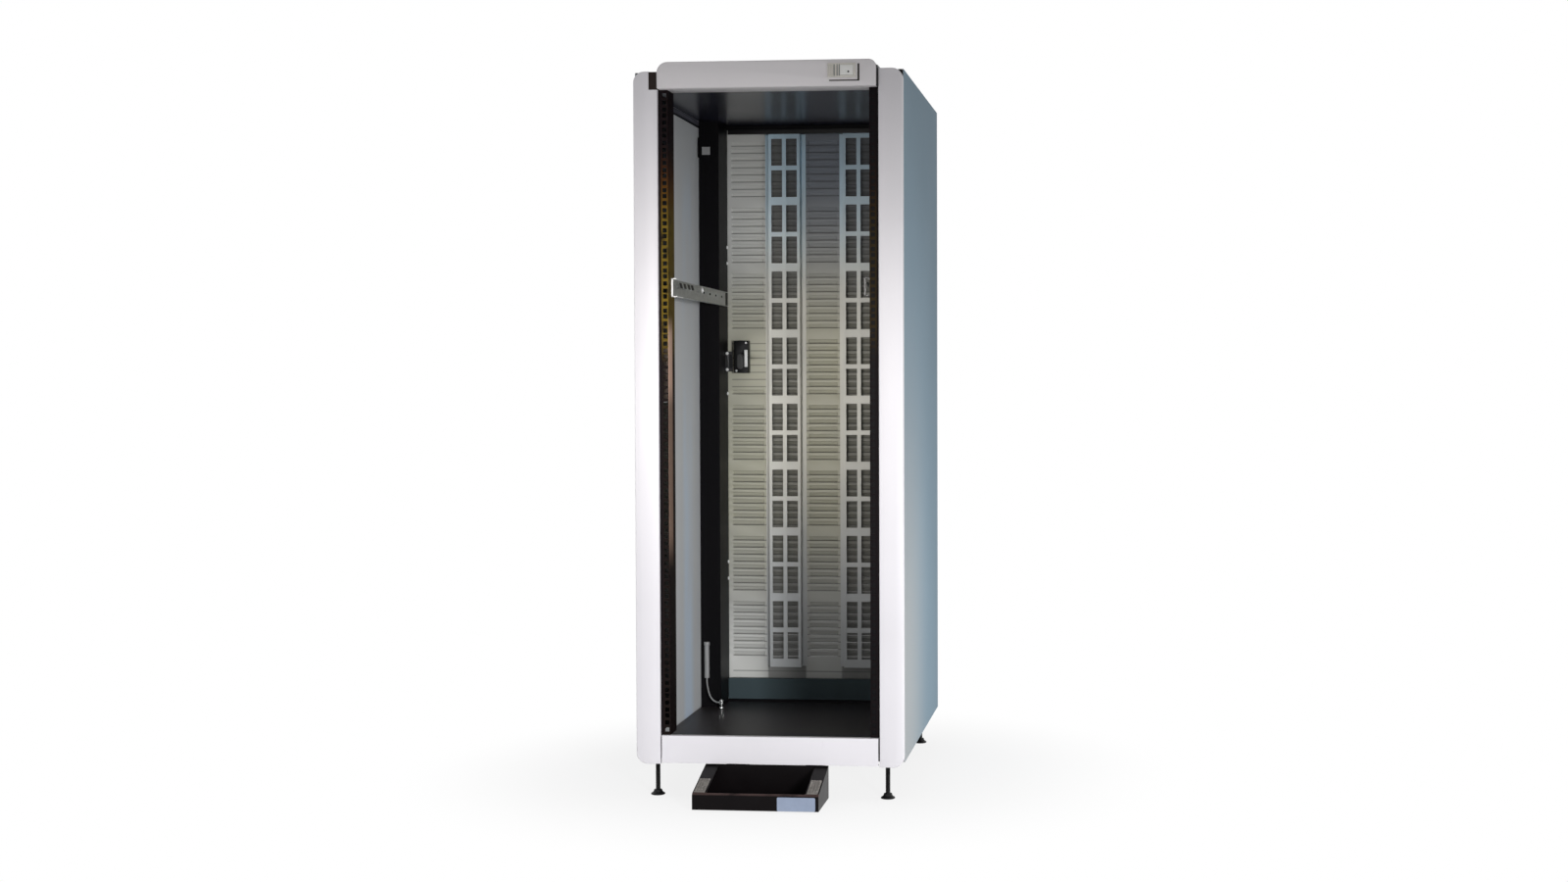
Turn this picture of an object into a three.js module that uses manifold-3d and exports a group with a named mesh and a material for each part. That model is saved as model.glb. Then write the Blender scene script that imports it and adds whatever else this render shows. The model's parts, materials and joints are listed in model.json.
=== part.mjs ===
// Server rack cabinet, 19 inch, 32 units high, with a louvred rear door.
// Millimetres. X runs to the right as seen from the front, Y to the back, Z up from the floor.
// Places are measured from the front face of the corner trims (y = 0) until the last lines,
// where the whole cabinet is moved so that its origin is below the middle of its bounding box.

import * as THREE from 'three';
import { mergeVertices } from 'three/addons/utils/BufferGeometryUtils.js';
import Module from 'manifold-3d';

const wasm = await Module();
wasm.setup();

// Cabinet
const cabinetWidth = 600;
const cabinetDepth = 800;
const groundGap = 75;
const seat = 0.3;
const overrun = 6;
const frameSheet = 2;
const coverSheet = 1.5;

// Rack opening: standard unit height, square holes in groups of three
const rackUnitHeight = 44.45;
const rackUnitCount = 32;
const openingSpareHeight = 10.6;
const sideSpace = 75;
const rackHoleInset = 7.55;
const rackHoleSide = 9.5;
const firstHoleRise = 6.35;
const holeStep = 15.875;
const holesPerUnit = 3;

// Corner trims, kick panel and header
const trimWidth = 54;
const trimDepth = 18;
const trimWall = 3;
const trimCorner = 24;
const trimEdge = 2;
const trimAboveOpening = 40;
const kickRise = 3;
const kickHeight = 61;
const kickReturn = 16;
const kickEndGap = 3;
const headerHeight = 59;
const headerProud = 10;
const headerWall = 3;
const headerLeftGap = 0.5;
const headerRightGap = 3.5;
const headerLeftCorner = 24;
const headerRightCorner = 17;
const headerFoot = 4;
const headerEdge = 3;

// Frame
const baseRise = 11;
const baseHeight = 8;
const ceilingRise = 12;
const coverGap = 2.5;
const frontPostWidth = 48;
const frontPostDepth = 46;
const rearPostWidth = 50;
const rearPostDepth = 111;
const footPlate = 6;
const coverHookWidth = 24;
const coverHookHeight = 50;
const coverHookReach = 14;
const coverHookDrop = 68;
const sillSetback = 14;
const sillDepth = 18;
const rearMemberDepth = 14;
const rearSillHeight = 59;
const railSetback = 10;
const railBehindTrim = 16;
const railReturn = 60;
const coverReturn = 12;
const topCoverGap = 2;

// Chassis runners
const runnerHeight = 37;
const runnerLow = 1117;
const runnerSheet = 1.5;
const runnerTopFlange = 8;
const runnerBottomFlange = 11;
const runnerStart = 43;
const runnerEndGap = 41;
const runnerSlotCount = 8;
const runnerSlotLength = 22;
const runnerSlotHeight = 5;
const runnerSlotDrop = 11;
const runnerSlotMargin = 40;

// Rear door
const doorGap = 6;
const doorThickness = 18;
const doorSideGap = 3;
const doorSheet = 1.5;
const hingeInset = 11;
const hingePin = 4;
const hingePinReach = 12;
const hingePinClearance = 0.5;
const hingePlate = 3;
const hingePlateWidth = 25;
const hingeBracketHeight = 14;

// Louvres in groups, with a plain band between the groups
const ventPitch = 171;
const ventMargin = 34.9;
const louvreCount = 8;
const louvrePitch = 18.7;
const louvreHeight = 12;
const louvreReach = 5;
const sideLouvreMargin = 56;
const sideLouvreOverlap = 35;
const middleLouvreGap = 58;
const lockPlainHeight = 150;

// Stiffeners: hat sections with pairs of windows
const stiffenerCentreShare = 0.3266;
const stiffenerWidth = 82;
const stiffenerDepth = 25;
const stiffenerFlange = 12;
const stiffenerTopRun = 3;
const stiffenerFootRun = 11;
const windowWidth = 28;
const windowMullion = 10.5;
const windowGap = 12;
const windowRowGap = 21;

// Door lock
const lockInset = 35;
const lockHeight = 988;
const lockCaseWidth = 38;
const lockCaseHeight = 84;
const lockCaseDepth = 28;
const lockCaseEdge = 3;
const spindleRadius = 6;
const spindleClearance = 0.5;
const camReach = 32;
const camWidth = 16;
const camThickness = 3.9;
const camLead = 9;
const clipWidth = 8;
const clipHeight = 44;
const clipThickness = 1.5;
const rosetteRadius = 23;
const rosetteThickness = 4;
const hubRadius = 17;
const hubLength = 24;
const leverReach = 112;
const leverWidth = 17;
const leverTipWidth = 13;
const leverThickness = 10;
const keyPlugRadius = 7.5;
const keyPlugDepth = 13;
const keyPlugProud = 2;
const keySlotWidth = 2;
const keySlotHeight = 9;
const keySlotDepth = 5;

// Strike for the lock's cam
const strikeHeight = 52;
const strikeDrop = 38;
const strikeFlange = 14;
const strikeLength = 26;
const wearPadWidth = 9;
const wearPadHeight = 36;
const wearPadThickness = 3;

// Stabiliser under the front
const stabiliserWidth = 276;
const stabiliserOffset = -7;
const stabiliserReach = 138;
const stabiliserLength = 146;
const stabiliserFloorGap = 4;
const stabiliserFrontHeight = 36;
const stabiliserRearHeight = 72;
const stabiliserSheet = 2;
const stabiliserLedge = 6;
const stabiliserCheek = 30;
const stabiliserNose = 5;
const armSpread = 90;
const armWidth = 24;
const armHeight = 24;
const armLength = 325;
const armRise = 42;
const guideSheet = 2;
const guideClearance = 0.6;
const guideLip = 5;
const guideSpare = 7;
const guideLength = 300;
const treadWidth = 24;
const treadLength = 62;
const treadThickness = 2;
const treadSetback = 1;
const plateWidth = 83;
const plateHeight = 30;
const plateThickness = 1;
const plateMargin = 7;

// Levelling feet
const footInset = 40;
const stemRadius = 5.5;
const stemClearance = 0.9;
const stemTop = 108;
const padRadius = 16;
const padRim = 3;
const padHeight = 12;
const padNeck = 9;
const padSocketDepth = 6.3;

// Power button in the header
const switchInset = 44.5;
const switchWidth = 61.5;
const switchHeight = 31;
const switchBelowTop = 9.3;
const switchProud = 6;
const switchNeckInset = 2.5;
const switchNeckDepth = 14;
const ribAreaWidth = 27;
const ribCount = 6;
const ribDepth = 2;
const ribMargin = 3;
const buttonMargin = 1.5;
const buttonGap = 0.5;
const buttonProud = 2;
const buttonDepth = 14;
const buttonDotRadius = 2.5;
const buttonDotDepth = 1;

// Hinge block on the left trim
const hingeBlockWidth = 19;
const hingeBlockHeight = 39;
const hingeBlockDepth = 10.5;
const hingeBlockBore = 3;

// Earth connection
const sleeveInset = 20;
const sleeveRadius = 6.5;
const sleeveWall = 2;
const sleeveRise = 75;
const sleeveLength = 92;
const sleeveCapHeight = 9;
const sleeveCapRadius = 7.5;
const leadRadius = 2;
const studInset = 63;
const studFromPost = 33;
const studRadius = 3;
const studHeight = 24;
const studNutRadius = 6.5;
const studNutHeight = 5;
const studLugRise = 14;
const leadRoute = [
  [20, 7.8, 84],
  [19.9, 7.8, 67],
  [21, 10, 58],
  [23.8, 15, 49],
  [27.4, 20, 39.5],
  [32, 24.5, 30.5],
  [38, 28, 23],
  [45, 30.5, 18.6],
  [51.5, 32.2, 16.9],
  [56.2, 33, 16.5],
];

// The lead's route is measured from the rear left post's front corner: inwards, forwards and
// up from the floor sheet.

// Heights worked out from the sizes above
const half = cabinetWidth / 2;
const kickBottom = groundGap + kickRise;
const kickTop = kickBottom + kickHeight;
const openingTop = kickTop + rackUnitCount * rackUnitHeight + openingSpareHeight;
const trimTop = openingTop + trimAboveOpening;
const headerTop = openingTop + headerHeight;
const baseBottom = groundGap + baseRise;
const floorTop = baseBottom + baseHeight;
const ceiling = openingTop + ceilingRise;
const frameTop = trimTop - coverSheet - 2 * seat;
const firstUnit = kickTop + openingSpareHeight / 2;
const doorBottom = baseBottom + hingeBracketHeight;
const doorTop = frameTop - hingeBracketHeight;
const ventTop = doorTop - ventMargin;
const sleeveBottom = floorTop + sleeveRise;
const sleeveTop = sleeveBottom + sleeveLength;

// Widths and depths worked out from the sizes above
const trimInner = half - trimWidth;
const rackOpening = cabinetWidth - 2 * sideSpace;
const rackHolePitchAcross = rackOpening + 2 * rackHoleInset;
const railFace = trimInner + railBehindTrim - rackOpening / 2;
const frameHalf = half - coverSheet - coverGap;
const frontPostInner = frameHalf - frontPostWidth;
const rearPostInner = frameHalf - rearPostWidth;
const frontPostFace = railSetback + frameSheet + seat;
const frontPostBack = frontPostFace + frontPostDepth;
const frameBack = cabinetDepth - doorThickness - doorGap;
const rearPostFace = frameBack - rearPostDepth;
const doorFront = cabinetDepth - doorThickness;
const doorSkin = cabinetDepth - doorSheet;
const doorHalf = half - doorSideGap;
const hingeAcross = doorHalf - hingeInset;
const hingeBack = (doorFront + cabinetDepth) / 2;
const ventPeriodCount = Math.floor((ventTop - ventMargin - doorBottom) / ventPitch);
const windowHeight = (ventPitch - windowGap - windowRowGap) / 2;
const stiffenerCentre = stiffenerCentreShare * doorHalf;
const sideLouvreOuter = doorHalf - sideLouvreMargin;
const sideLouvreInner = stiffenerCentre - sideLouvreOverlap;
const middleLouvreHalf = stiffenerCentre - middleLouvreGap;
const lockAcross = rearPostInner - lockInset;
const footAcross = half - footInset;
const footFront = (frontPostFace + frontPostBack) / 2;
const footRear = (rearPostFace + frameBack) / 2;
const runnerEnd = frameBack - runnerEndGap;
const switchLeft = trimInner - headerRightGap - switchInset - switchWidth;
const sleeveAcross = half - sleeveInset;
const sleeveMiddle = rearPostFace - seat - sleeveCapRadius;
const studAcross = half - studInset;
const studFromFront = rearPostFace - studFromPost;

// Round pieces are drawn with these numbers of sides
const smallSides = 10;
const largeSides = 16;
const arcSteps = 5;

const cabinet = new THREE.Group();

function finish(colour, roughness, metalness) {
  return new THREE.MeshStandardMaterial({ color: colour, roughness, metalness });
}

const trimPaint = () => finish(0xe6e3e6, 0.45, 0);
const headerPaint = () => finish(0xb0adad, 0.45, 0);
const coverPaint = () => finish(0x8c9ca6, 0.5, 0);
const blackPaint = () => finish(0x1b1a1c, 0.35, 0.1);
const doorPaint = () => finish(0x9a9a92, 0.5, 0.1);
const zinc = () => finish(0xb4b6b5, 0.35, 0.9);
const blackPlastic = () => finish(0x141414, 0.4, 0);
const brownPlastic = () => finish(0x3a2a24, 0.5, 0);
const palePlastic = () => finish(0xc9c6c0, 0.4, 0);
const greyRubber = () => finish(0x85807a, 0.9, 0);
const paleFilm = () => finish(0xa5afc3, 0.3, 0);
const greySleeve = () => finish(0x8a8a8c, 0.7, 0);

function add(name, geometry, material, place = [0, 0, 0], parent = cabinet) {
  const mesh = new THREE.Mesh(geometry, material);
  mesh.name = name;
  mesh.position.set(...place);
  parent.add(mesh);
  return mesh;
}

// Solids for cutting and joining
function solid(geometry) {
  const bare = geometry.clone();
  bare.deleteAttribute('normal');
  bare.deleteAttribute('uv');
  const merged = mergeVertices(bare);
  return new wasm.Manifold(new wasm.Mesh({
    numProp: 3,
    vertProperties: Float32Array.from(merged.attributes.position.array),
    triVerts: Uint32Array.from(merged.index.array),
  }));
}

function surface(manifold) {
  const mesh = manifold.getMesh();
  const geometry = new THREE.BufferGeometry();
  geometry.setAttribute('position', new THREE.BufferAttribute(mesh.vertProperties, mesh.numProp));
  geometry.setIndex(new THREE.BufferAttribute(mesh.triVerts, 1));
  geometry.computeVertexNormals();
  return geometry;
}

function cut(body, ...tools) {
  let result = body;
  for (const tool of tools) {
    result = result.subtract(tool);
  }
  return result;
}

function join(body, ...others) {
  let result = body;
  for (const other of others) {
    result = result.add(other);
  }
  return result;
}

// A box between two corners
function block(low, high) {
  const size = high.map((value, i) => value - low[i]);
  const middle = high.map((value, i) => (value + low[i]) / 2);
  return solid(new THREE.BoxGeometry(...size).translate(...middle));
}

// An outline of points or a Shape
function outline(points) {
  if (points instanceof THREE.Shape) {
    return points;
  }
  return new THREE.Shape(points.map(([u, v]) => new THREE.Vector2(u, v)));
}

function extruded(points, length) {
  return new THREE.ExtrudeGeometry(outline(points), {
    depth: length, bevelEnabled: false, curveSegments: arcSteps,
  });
}

// Section in X and Y, run up Z
function upright(points, bottom, top) {
  return solid(extruded(points, top - bottom).translate(0, 0, bottom));
}

// Section in Y and Z, run along X
function crossbar(points, left, right) {
  const turn = new THREE.Matrix4().makeBasis(
    new THREE.Vector3(0, 1, 0), new THREE.Vector3(0, 0, 1), new THREE.Vector3(1, 0, 0));
  return solid(extruded(points, right - left).applyMatrix4(turn).translate(left, 0, 0));
}

// Section in X and Z, run along Y
const facing = new THREE.Matrix4().makeBasis(
  new THREE.Vector3(1, 0, 0), new THREE.Vector3(0, 0, 1), new THREE.Vector3(0, -1, 0));

function runback(points, front, back) {
  return solid(extruded(points, back - front).applyMatrix4(facing).translate(0, back, 0));
}

// The same with a bevelled front edge
function panel(points, front, back, edge) {
  const depth = back - front;
  const geometry = new THREE.ExtrudeGeometry(outline(points), {
    depth, curveSegments: arcSteps, bevelEnabled: true,
    bevelThickness: edge, bevelSize: edge, bevelOffset: -edge, bevelSegments: 2,
  });
  const bevelled = solid(geometry.applyMatrix4(facing).translate(0, back + edge, 0));
  const reach = cabinetWidth + headerTop;
  return cut(bevelled, block([-reach, back, -reach], [reach, back + depth, reach]));
}

// A round bar along Y or Z between two places
function roundBar(axis, radius, middle, from, to, sides = smallSides) {
  const bar = new THREE.CylinderGeometry(radius, radius, to - from, sides);
  if (axis === 'z') {
    bar.rotateX(Math.PI / 2).translate(middle[0], middle[1], (from + to) / 2);
  } else {
    bar.translate(middle[0], (from + to) / 2, middle[1]);
  }
  return solid(bar);
}

// A turned piece about Z from a profile of [radius, height] points
function turned(profile, sides) {
  const points = profile.map(([r, z]) => new THREE.Vector2(r, z));
  return solid(new THREE.LatheGeometry(points, sides).rotateX(Math.PI / 2));
}

function mirrored(geometry) {
  const other = geometry.clone().scale(-1, 1, 1);
  const index = other.index.array.slice();
  for (let i = 0; i < index.length; i += 3) {
    [index[i], index[i + 1]] = [index[i + 1], index[i]];
  }
  other.setIndex(new THREE.BufferAttribute(index, 1));
  other.computeVertexNormals();
  return other;
}

function addPair(name, leftGeometry, material) {
  add(`left_${name}`, leftGeometry, material());
  add(`right_${name}`, mirrored(leftGeometry), material());
}

// A rectangle in outline form, with a radius at each corner in the order
// lower left, lower right, upper right, upper left
function roundedOutline(left, right, low, high, radii) {
  const [lowerLeft, lowerRight, upperRight, upperLeft] = radii;
  const shape = new THREE.Shape();
  const quarter = Math.PI / 2;
  const corner = (x, y, r, start) => {
    if (r > 0) {
      shape.absarc(x, y, r, start, start + quarter, false);
    } else {
      shape.lineTo(x, y);
    }
  };
  shape.moveTo(left + lowerLeft, low);
  corner(right - lowerRight, low + lowerRight, lowerRight, -quarter);
  corner(right - upperRight, high - upperRight, upperRight, 0);
  corner(left + upperLeft, high - upperLeft, upperLeft, quarter);
  corner(left + lowerLeft, low + lowerLeft, lowerLeft, 2 * quarter);
  return shape;
}

// Floor and ceiling plan: a rectangle notched at the corners for the four posts
function deckPlan(front, inset) {
  const side = frameHalf - inset;
  const frontSide = frontPostInner - seat - inset;
  const rearSide = rearPostInner - seat - inset;
  const frontShoulder = frontPostBack + seat + inset;
  const rearShoulder = rearPostFace - seat - inset;
  const nose = front < frontPostBack ? [[-frontSide, front + inset], [frontSide, front + inset]] : [];
  return [
    ...nose,
    ...(nose.length ? [[frontSide, frontShoulder]] : []),
    [side, frontShoulder],
    [side, rearShoulder],
    [rearSide, rearShoulder],
    [rearSide, frameBack - inset],
    [-rearSide, frameBack - inset],
    [-rearSide, rearShoulder],
    [-side, rearShoulder],
    [-side, frontShoulder],
    ...(nose.length ? [[-frontSide, frontShoulder]] : []),
  ];
}

// Base: floor sheet with its edges folded down
function basePan() {
  const body = upright(deckPlan(sillSetback, 0), baseBottom, floorTop);
  const hollow = upright(deckPlan(sillSetback, frameSheet), baseBottom - overrun, floorTop - frameSheet);
  return surface(cut(body, hollow));
}

// Roof: ceiling sheet with its edges folded up
function roofPan() {
  const body = upright(deckPlan(frontPostBack, 0), ceiling, frameTop);
  const hollow = upright(deckPlan(frontPostBack, frameSheet), ceiling + frameSheet, frameTop + overrun);
  return surface(cut(body, hollow));
}

// Top cover between the returns of the side covers, cut back behind the trims and the header
function topCover() {
  const side = half - coverReturn - topCoverGap;
  const shoulder = trimInner;
  const behindTrim = trimDepth + seat;
  const behindHeader = frontPostBack + seat;
  const plan = [
    [-shoulder, behindHeader], [shoulder, behindHeader], [shoulder, behindTrim], [side, behindTrim],
    [side, frameBack], [-side, frameBack], [-side, behindTrim], [-shoulder, behindTrim],
  ];
  return surface(upright(plan, trimTop - coverSheet - seat, trimTop - seat));
}

// Channel section posts, open to the side cover, with a tapped plate for the levelling foot
function post(inner, front, back, footY, ...fittings) {
  const sheet = frameSheet;
  const section = [
    [-frameHalf, front], [-inner, front], [-inner, back], [-frameHalf, back],
    [-frameHalf, back - sheet], [-inner - sheet, back - sheet],
    [-inner - sheet, front + sheet], [-frameHalf, front + sheet],
  ];
  const channel = upright(section, baseBottom, frameTop);
  const plate = block([-frameHalf, front, baseBottom], [-inner, back, baseBottom + footPlate]);
  const bore = roundBar('z', stemRadius + stemClearance, [-footAcross, footY],
    baseBottom - overrun, baseBottom + footPlate + overrun, largeSides);
  return surface(cut(join(channel, plate, ...fittings), bore));
}

// Angle welded to a rear post near its top, which the side cover hangs on
function coverHook() {
  const sheet = frameSheet;
  const outer = -frameHalf;
  const high = frameTop - coverHookDrop;
  const front = rearPostFace - coverHookReach;
  const section = [
    [outer, front], [outer + sheet, front], [outer + sheet, rearPostFace - sheet],
    [outer + coverHookWidth, rearPostFace - sheet], [outer + coverHookWidth, rearPostFace + sheet / 2],
    [outer, rearPostFace + sheet / 2],
  ];
  return upright(section, high - coverHookHeight, high);
}

// Channel across the cabinet; openSide is -1 when its open side faces the front, 1 the back
function crossChannel(halfLength, front, back, low, high, openSide) {
  const sheet = frameSheet;
  const open = openSide < 0 ? front : back;
  const web = openSide < 0 ? back : front;
  const inside = web - openSide * -sheet;
  const section = [
    [open, low], [web, low], [web, high], [open, high],
    [open, high - sheet], [inside, high - sheet], [inside, low + sheet], [open, low + sheet],
  ];
  const ordered = openSide < 0 ? section : section.reverse();
  return surface(crossbar(ordered, -halfLength, halfLength));
}

// Rack rail: perforated face with a return flange towards the back
function rackRail() {
  const inner = rackOpening / 2;
  const outer = inner + railFace;
  const back = railSetback + frameSheet;
  const section = [
    [-outer, railSetback], [-inner, railSetback], [-inner, railSetback + railReturn],
    [-inner - frameSheet, railSetback + railReturn], [-inner - frameSheet, back], [-outer, back],
  ];
  let rail = upright(section, kickTop + seat, openingTop - seat);
  const across = -rackHolePitchAcross / 2;
  const side = rackHoleSide / 2;
  const holes = [];
  for (let unit = 0; unit < rackUnitCount; unit += 1) {
    for (let hole = 0; hole < holesPerUnit; hole += 1) {
      const z = firstUnit + unit * rackUnitHeight + firstHoleRise + hole * holeStep;
      holes.push(block([across - side, railSetback - overrun, z - side],
        [across + side, back + overrun, z + side]));
    }
  }
  rail = rail.subtract(wasm.Manifold.union(holes));
  return surface(rail);
}

// Corner trim: a cap over the front post, rounded at its two outer corners
function cornerTrim(side) {
  const shape = roundedOutline(-half, -trimInner, groundGap, trimTop, [trimCorner, 0, 0, trimCorner]);
  const inside = roundedOutline(-half + trimWall, -trimInner - trimWall, groundGap + trimWall,
    trimTop - trimWall, [trimCorner - trimWall, 0, 0, trimCorner - trimWall]);
  const cap = panel(shape, 0, trimDepth, trimEdge);
  const pocket = runback(inside, trimWall, trimDepth + overrun);
  const postRoom = block([-half + trimWall, frontPostFace - seat, groundGap - overrun],
    [-trimInner + overrun, trimDepth + overrun, trimTop + overrun]);
  const railRoom = block([-rackOpening / 2 - railFace - seat, railSetback - seat, kickTop],
    [-trimInner + overrun, trimDepth + overrun, openingTop]);
  let trim = cut(cap, pocket, postRoom, railRoom);
  if (side === 'left') {
    const notch = block(
      [-trimInner - hingeBlockWidth - 2 * seat, -overrun, openingTop - 2 * seat],
      [-trimInner + overrun, trimDepth + overrun, trimTop + overrun]);
    trim = cut(trim, notch);
    return surface(trim);
  }
  return mirrored(surface(trim));
}

// Hinge block at the top of the left trim, with a bore for a door pin
function hingeBlock() {
  const right = -trimInner - seat;
  const left = right - hingeBlockWidth;
  const back = frontPostFace - seat;
  const front = back - hingeBlockDepth;
  const body = panel(
    [[left, openingTop], [right, openingTop], [right, openingTop + hingeBlockHeight],
      [left, openingTop + hingeBlockHeight]], front, back, trimEdge / 2);
  const bore = roundBar('z', hingeBlockBore, [(left + right) / 2, (front + back) / 2],
    openingTop - overrun, openingTop + hingeBlockHeight + overrun);
  return surface(cut(body, bore));
}

// Kick panel: folded sheet with a return at the top and the bottom
function kickPanel() {
  const sheet = coverSheet;
  const section = [
    [0, kickBottom], [sillSetback - seat, kickBottom], [sillSetback - seat, kickBottom + sheet],
    [sheet, kickBottom + sheet], [sheet, kickTop - sheet], [kickReturn, kickTop - sheet],
    [kickReturn, kickTop], [0, kickTop],
  ];
  const end = trimInner - kickEndGap;
  return surface(crossbar(section, -end, end));
}

// Header fascia: a shell open at the back below the roof line
function headerFascia() {
  const left = -trimInner + headerLeftGap;
  const right = trimInner - headerRightGap;
  const back = frontPostBack - seat;
  const wall = headerWall;
  const shape = roundedOutline(left, right, openingTop, headerTop,
    [headerFoot, headerFoot, headerRightCorner, headerLeftCorner]);
  const inside = roundedOutline(left + wall, right - wall, openingTop + wall, headerTop - wall,
    [headerFoot - wall, headerFoot - wall, headerRightCorner - wall, headerLeftCorner - wall]);
  const shell = panel(shape, -headerProud, back, headerEdge);
  const hollow = runback(inside, -headerProud + wall, back - wall);
  const backOpening = block([left + wall, back - wall - overrun, openingTop + wall],
    [right - wall, back + overrun, trimTop + seat]);
  const neck = switchNeckInset - seat;
  const window = block(
    [switchLeft + neck, -headerProud - overrun, switchBottom() + neck],
    [switchLeft + switchWidth - neck, -headerProud + wall + overrun, switchBottom() + switchHeight - neck]);
  return surface(cut(shell, hollow, backOpening, window));
}

function switchBottom() {
  return headerTop - switchBelowTop - switchHeight;
}

// Switch bezel: a raised block with a ribbed grip beside the button's opening
function switchBezel() {
  const low = switchBottom();
  const high = low + switchHeight;
  const right = switchLeft + switchWidth;
  const face = -headerProud - switchProud;
  const body = panel([[switchLeft, low], [right, low], [right, high], [switchLeft, high]],
    face, -headerProud - seat, trimEdge / 2);
  const inset = switchNeckInset;
  const neck = block([switchLeft + inset, face + ribDepth + trimEdge, low + inset],
    [right - inset, -headerProud + switchNeckDepth, high - inset]);
  const opening = block(
    [switchLeft + ribAreaWidth, face - overrun, low + buttonMargin + inset],
    [right - buttonMargin - inset, -headerProud + switchNeckDepth + overrun, high - buttonMargin - inset]);
  const ribPitch = (ribAreaWidth - 2 * ribMargin) / ribCount;
  const grooves = [];
  for (let i = 0; i < ribCount; i += 1) {
    const x = switchLeft + ribMargin + i * ribPitch;
    grooves.push(block([x, face - overrun, low + ribMargin],
      [x + ribPitch / 2, face + ribDepth, high - ribMargin]));
  }
  return surface(cut(join(body, neck), opening, ...grooves));
}

function powerButton() {
  const low = switchBottom() + buttonMargin + switchNeckInset + buttonGap;
  const high = switchBottom() + switchHeight - buttonMargin - switchNeckInset - buttonGap;
  const left = switchLeft + ribAreaWidth + buttonGap;
  const right = switchLeft + switchWidth - buttonMargin - switchNeckInset - buttonGap;
  const front = -headerProud - switchProud - buttonProud;
  const key = panel([[left, low], [right, low], [right, high], [left, high]],
    front, front + buttonDepth, trimEdge / 2);
  const dot = roundBar('y', buttonDotRadius, [(left + right) / 2, (low + high) / 2],
    front - overrun, front + buttonDotDepth);
  return surface(cut(key, dot));
}

// Side cover: flat sheet with a return over the roof and one under the base
function sideCover() {
  const outer = half;
  const sheet = coverSheet;
  const low = baseBottom - seat - sheet;
  const high = trimTop - seat;
  const section = [
    [-outer, low], [-outer + coverReturn, low], [-outer + coverReturn, low + sheet],
    [-outer + sheet, low + sheet], [-outer + sheet, high - sheet],
    [-outer + coverReturn, high - sheet], [-outer + coverReturn, high], [-outer, high],
  ];
  return surface(runback(section, trimDepth + seat, frameBack));
}

// Chassis runner: slotted channel from the rack rail's return to the rear post.
// It is drawn straight back from its front end and turned about that end.
function chassisRunner() {
  const length = runnerEnd - runnerStart;
  const low = runnerLow;
  const high = runnerLow + runnerHeight;
  const sheet = runnerSheet;
  const section = [
    [0, low], [runnerBottomFlange, low], [runnerBottomFlange, low + sheet], [sheet, low + sheet],
    [sheet, high - sheet], [runnerTopFlange, high - sheet], [runnerTopFlange, high], [0, high],
  ];
  const channel = runback(section, 0, length);
  const slots = [];
  const pitch = (length - 2 * runnerSlotMargin - runnerSlotLength) / (runnerSlotCount - 1);
  for (let i = 0; i < runnerSlotCount; i += 1) {
    const y = runnerSlotMargin + i * pitch;
    const z = high - runnerSlotDrop;
    slots.push(block([-overrun, y, z - runnerSlotHeight], [runnerTopFlange - sheet, y + runnerSlotLength, z]));
  }
  const across = rearPostInner - rackOpening / 2;
  const angle = Math.atan2(across, runnerEnd - railSetback - railReturn);
  const startAcross = rackOpening / 2 - seat - (railSetback + railReturn - runnerStart) * Math.tan(angle);
  return surface(cut(channel, ...slots))
    .rotateZ(angle)
    .translate(-startAcross, runnerStart, 0);
}

// One pressed louvre: a hood with its mouth downwards, open through the sheet
function louvre(left, right, top) {
  const wall = doorSheet;
  const low = top - louvreHeight;
  const tip = cabinetDepth + louvreReach;
  const hood = crossbar([[doorSkin, top], [cabinetDepth, top], [tip, low], [doorSkin, low]], left, right);
  const mouth = crossbar(
    [[doorSkin - overrun, top - wall], [doorSkin, top - wall], [tip - wall, low],
      [tip - wall, low - wall], [cabinetDepth, low - wall], [cabinetDepth, low], [doorSkin - overrun, low]],
    left + wall, right - wall);
  return { hood, mouth };
}

// Places of all louvres: two long columns behind the stiffeners and a short one between them.
// Beside the lock the left column keeps only the part behind the stiffener.
function louvrePlaces() {
  const places = [];
  const lead = (ventPitch - (louvreCount - 1) * louvrePitch) / 2;
  for (let period = 0; period < ventPeriodCount; period += 1) {
    for (let i = 0; i < louvreCount; i += 1) {
      const top = ventTop - period * ventPitch - lead - i * louvrePitch + louvreHeight / 2;
      const besideLock = Math.abs(top - louvreHeight / 2 - lockHeight) < lockPlainHeight / 2;
      const leftEnd = besideLock ? stiffenerCentre + stiffenerWidth / 2 : sideLouvreOuter;
      places.push([-leftEnd, -sideLouvreInner, top]);
      places.push([-middleLouvreHalf, middleLouvreHalf, top]);
      places.push([sideLouvreInner, sideLouvreOuter, top]);
    }
  }
  return places;
}

// Rear door: a folded sheet tray with pressed louvres and a hole for each hinge pin
function rearDoor() {
  const tray = block([-doorHalf, doorFront, doorBottom], [doorHalf, cabinetDepth, doorTop]);
  const inside = block([-doorHalf + doorSheet, doorFront - overrun, doorBottom + doorSheet],
    [doorHalf - doorSheet, doorSkin, doorTop - doorSheet]);
  const louvres = louvrePlaces().map((place) => louvre(...place));
  const shell = cut(tray, inside);
  const hooded = shell.add(wasm.Manifold.union(louvres.map((item) => item.hood)));
  const open = hooded.subtract(wasm.Manifold.union(louvres.map((item) => item.mouth)));
  const pinHoles = [doorBottom, doorTop].map((z) => roundBar('z', hingePin + hingePinClearance,
    [hingeAcross, hingeBack], z - overrun, z + overrun, largeSides));
  const spindleHole = roundBar('y', spindleRadius + spindleClearance, [-lockAcross, lockHeight],
    doorSkin - overrun, cabinetDepth + overrun);
  return surface(cut(open, ...pinHoles, spindleHole));
}

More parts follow.
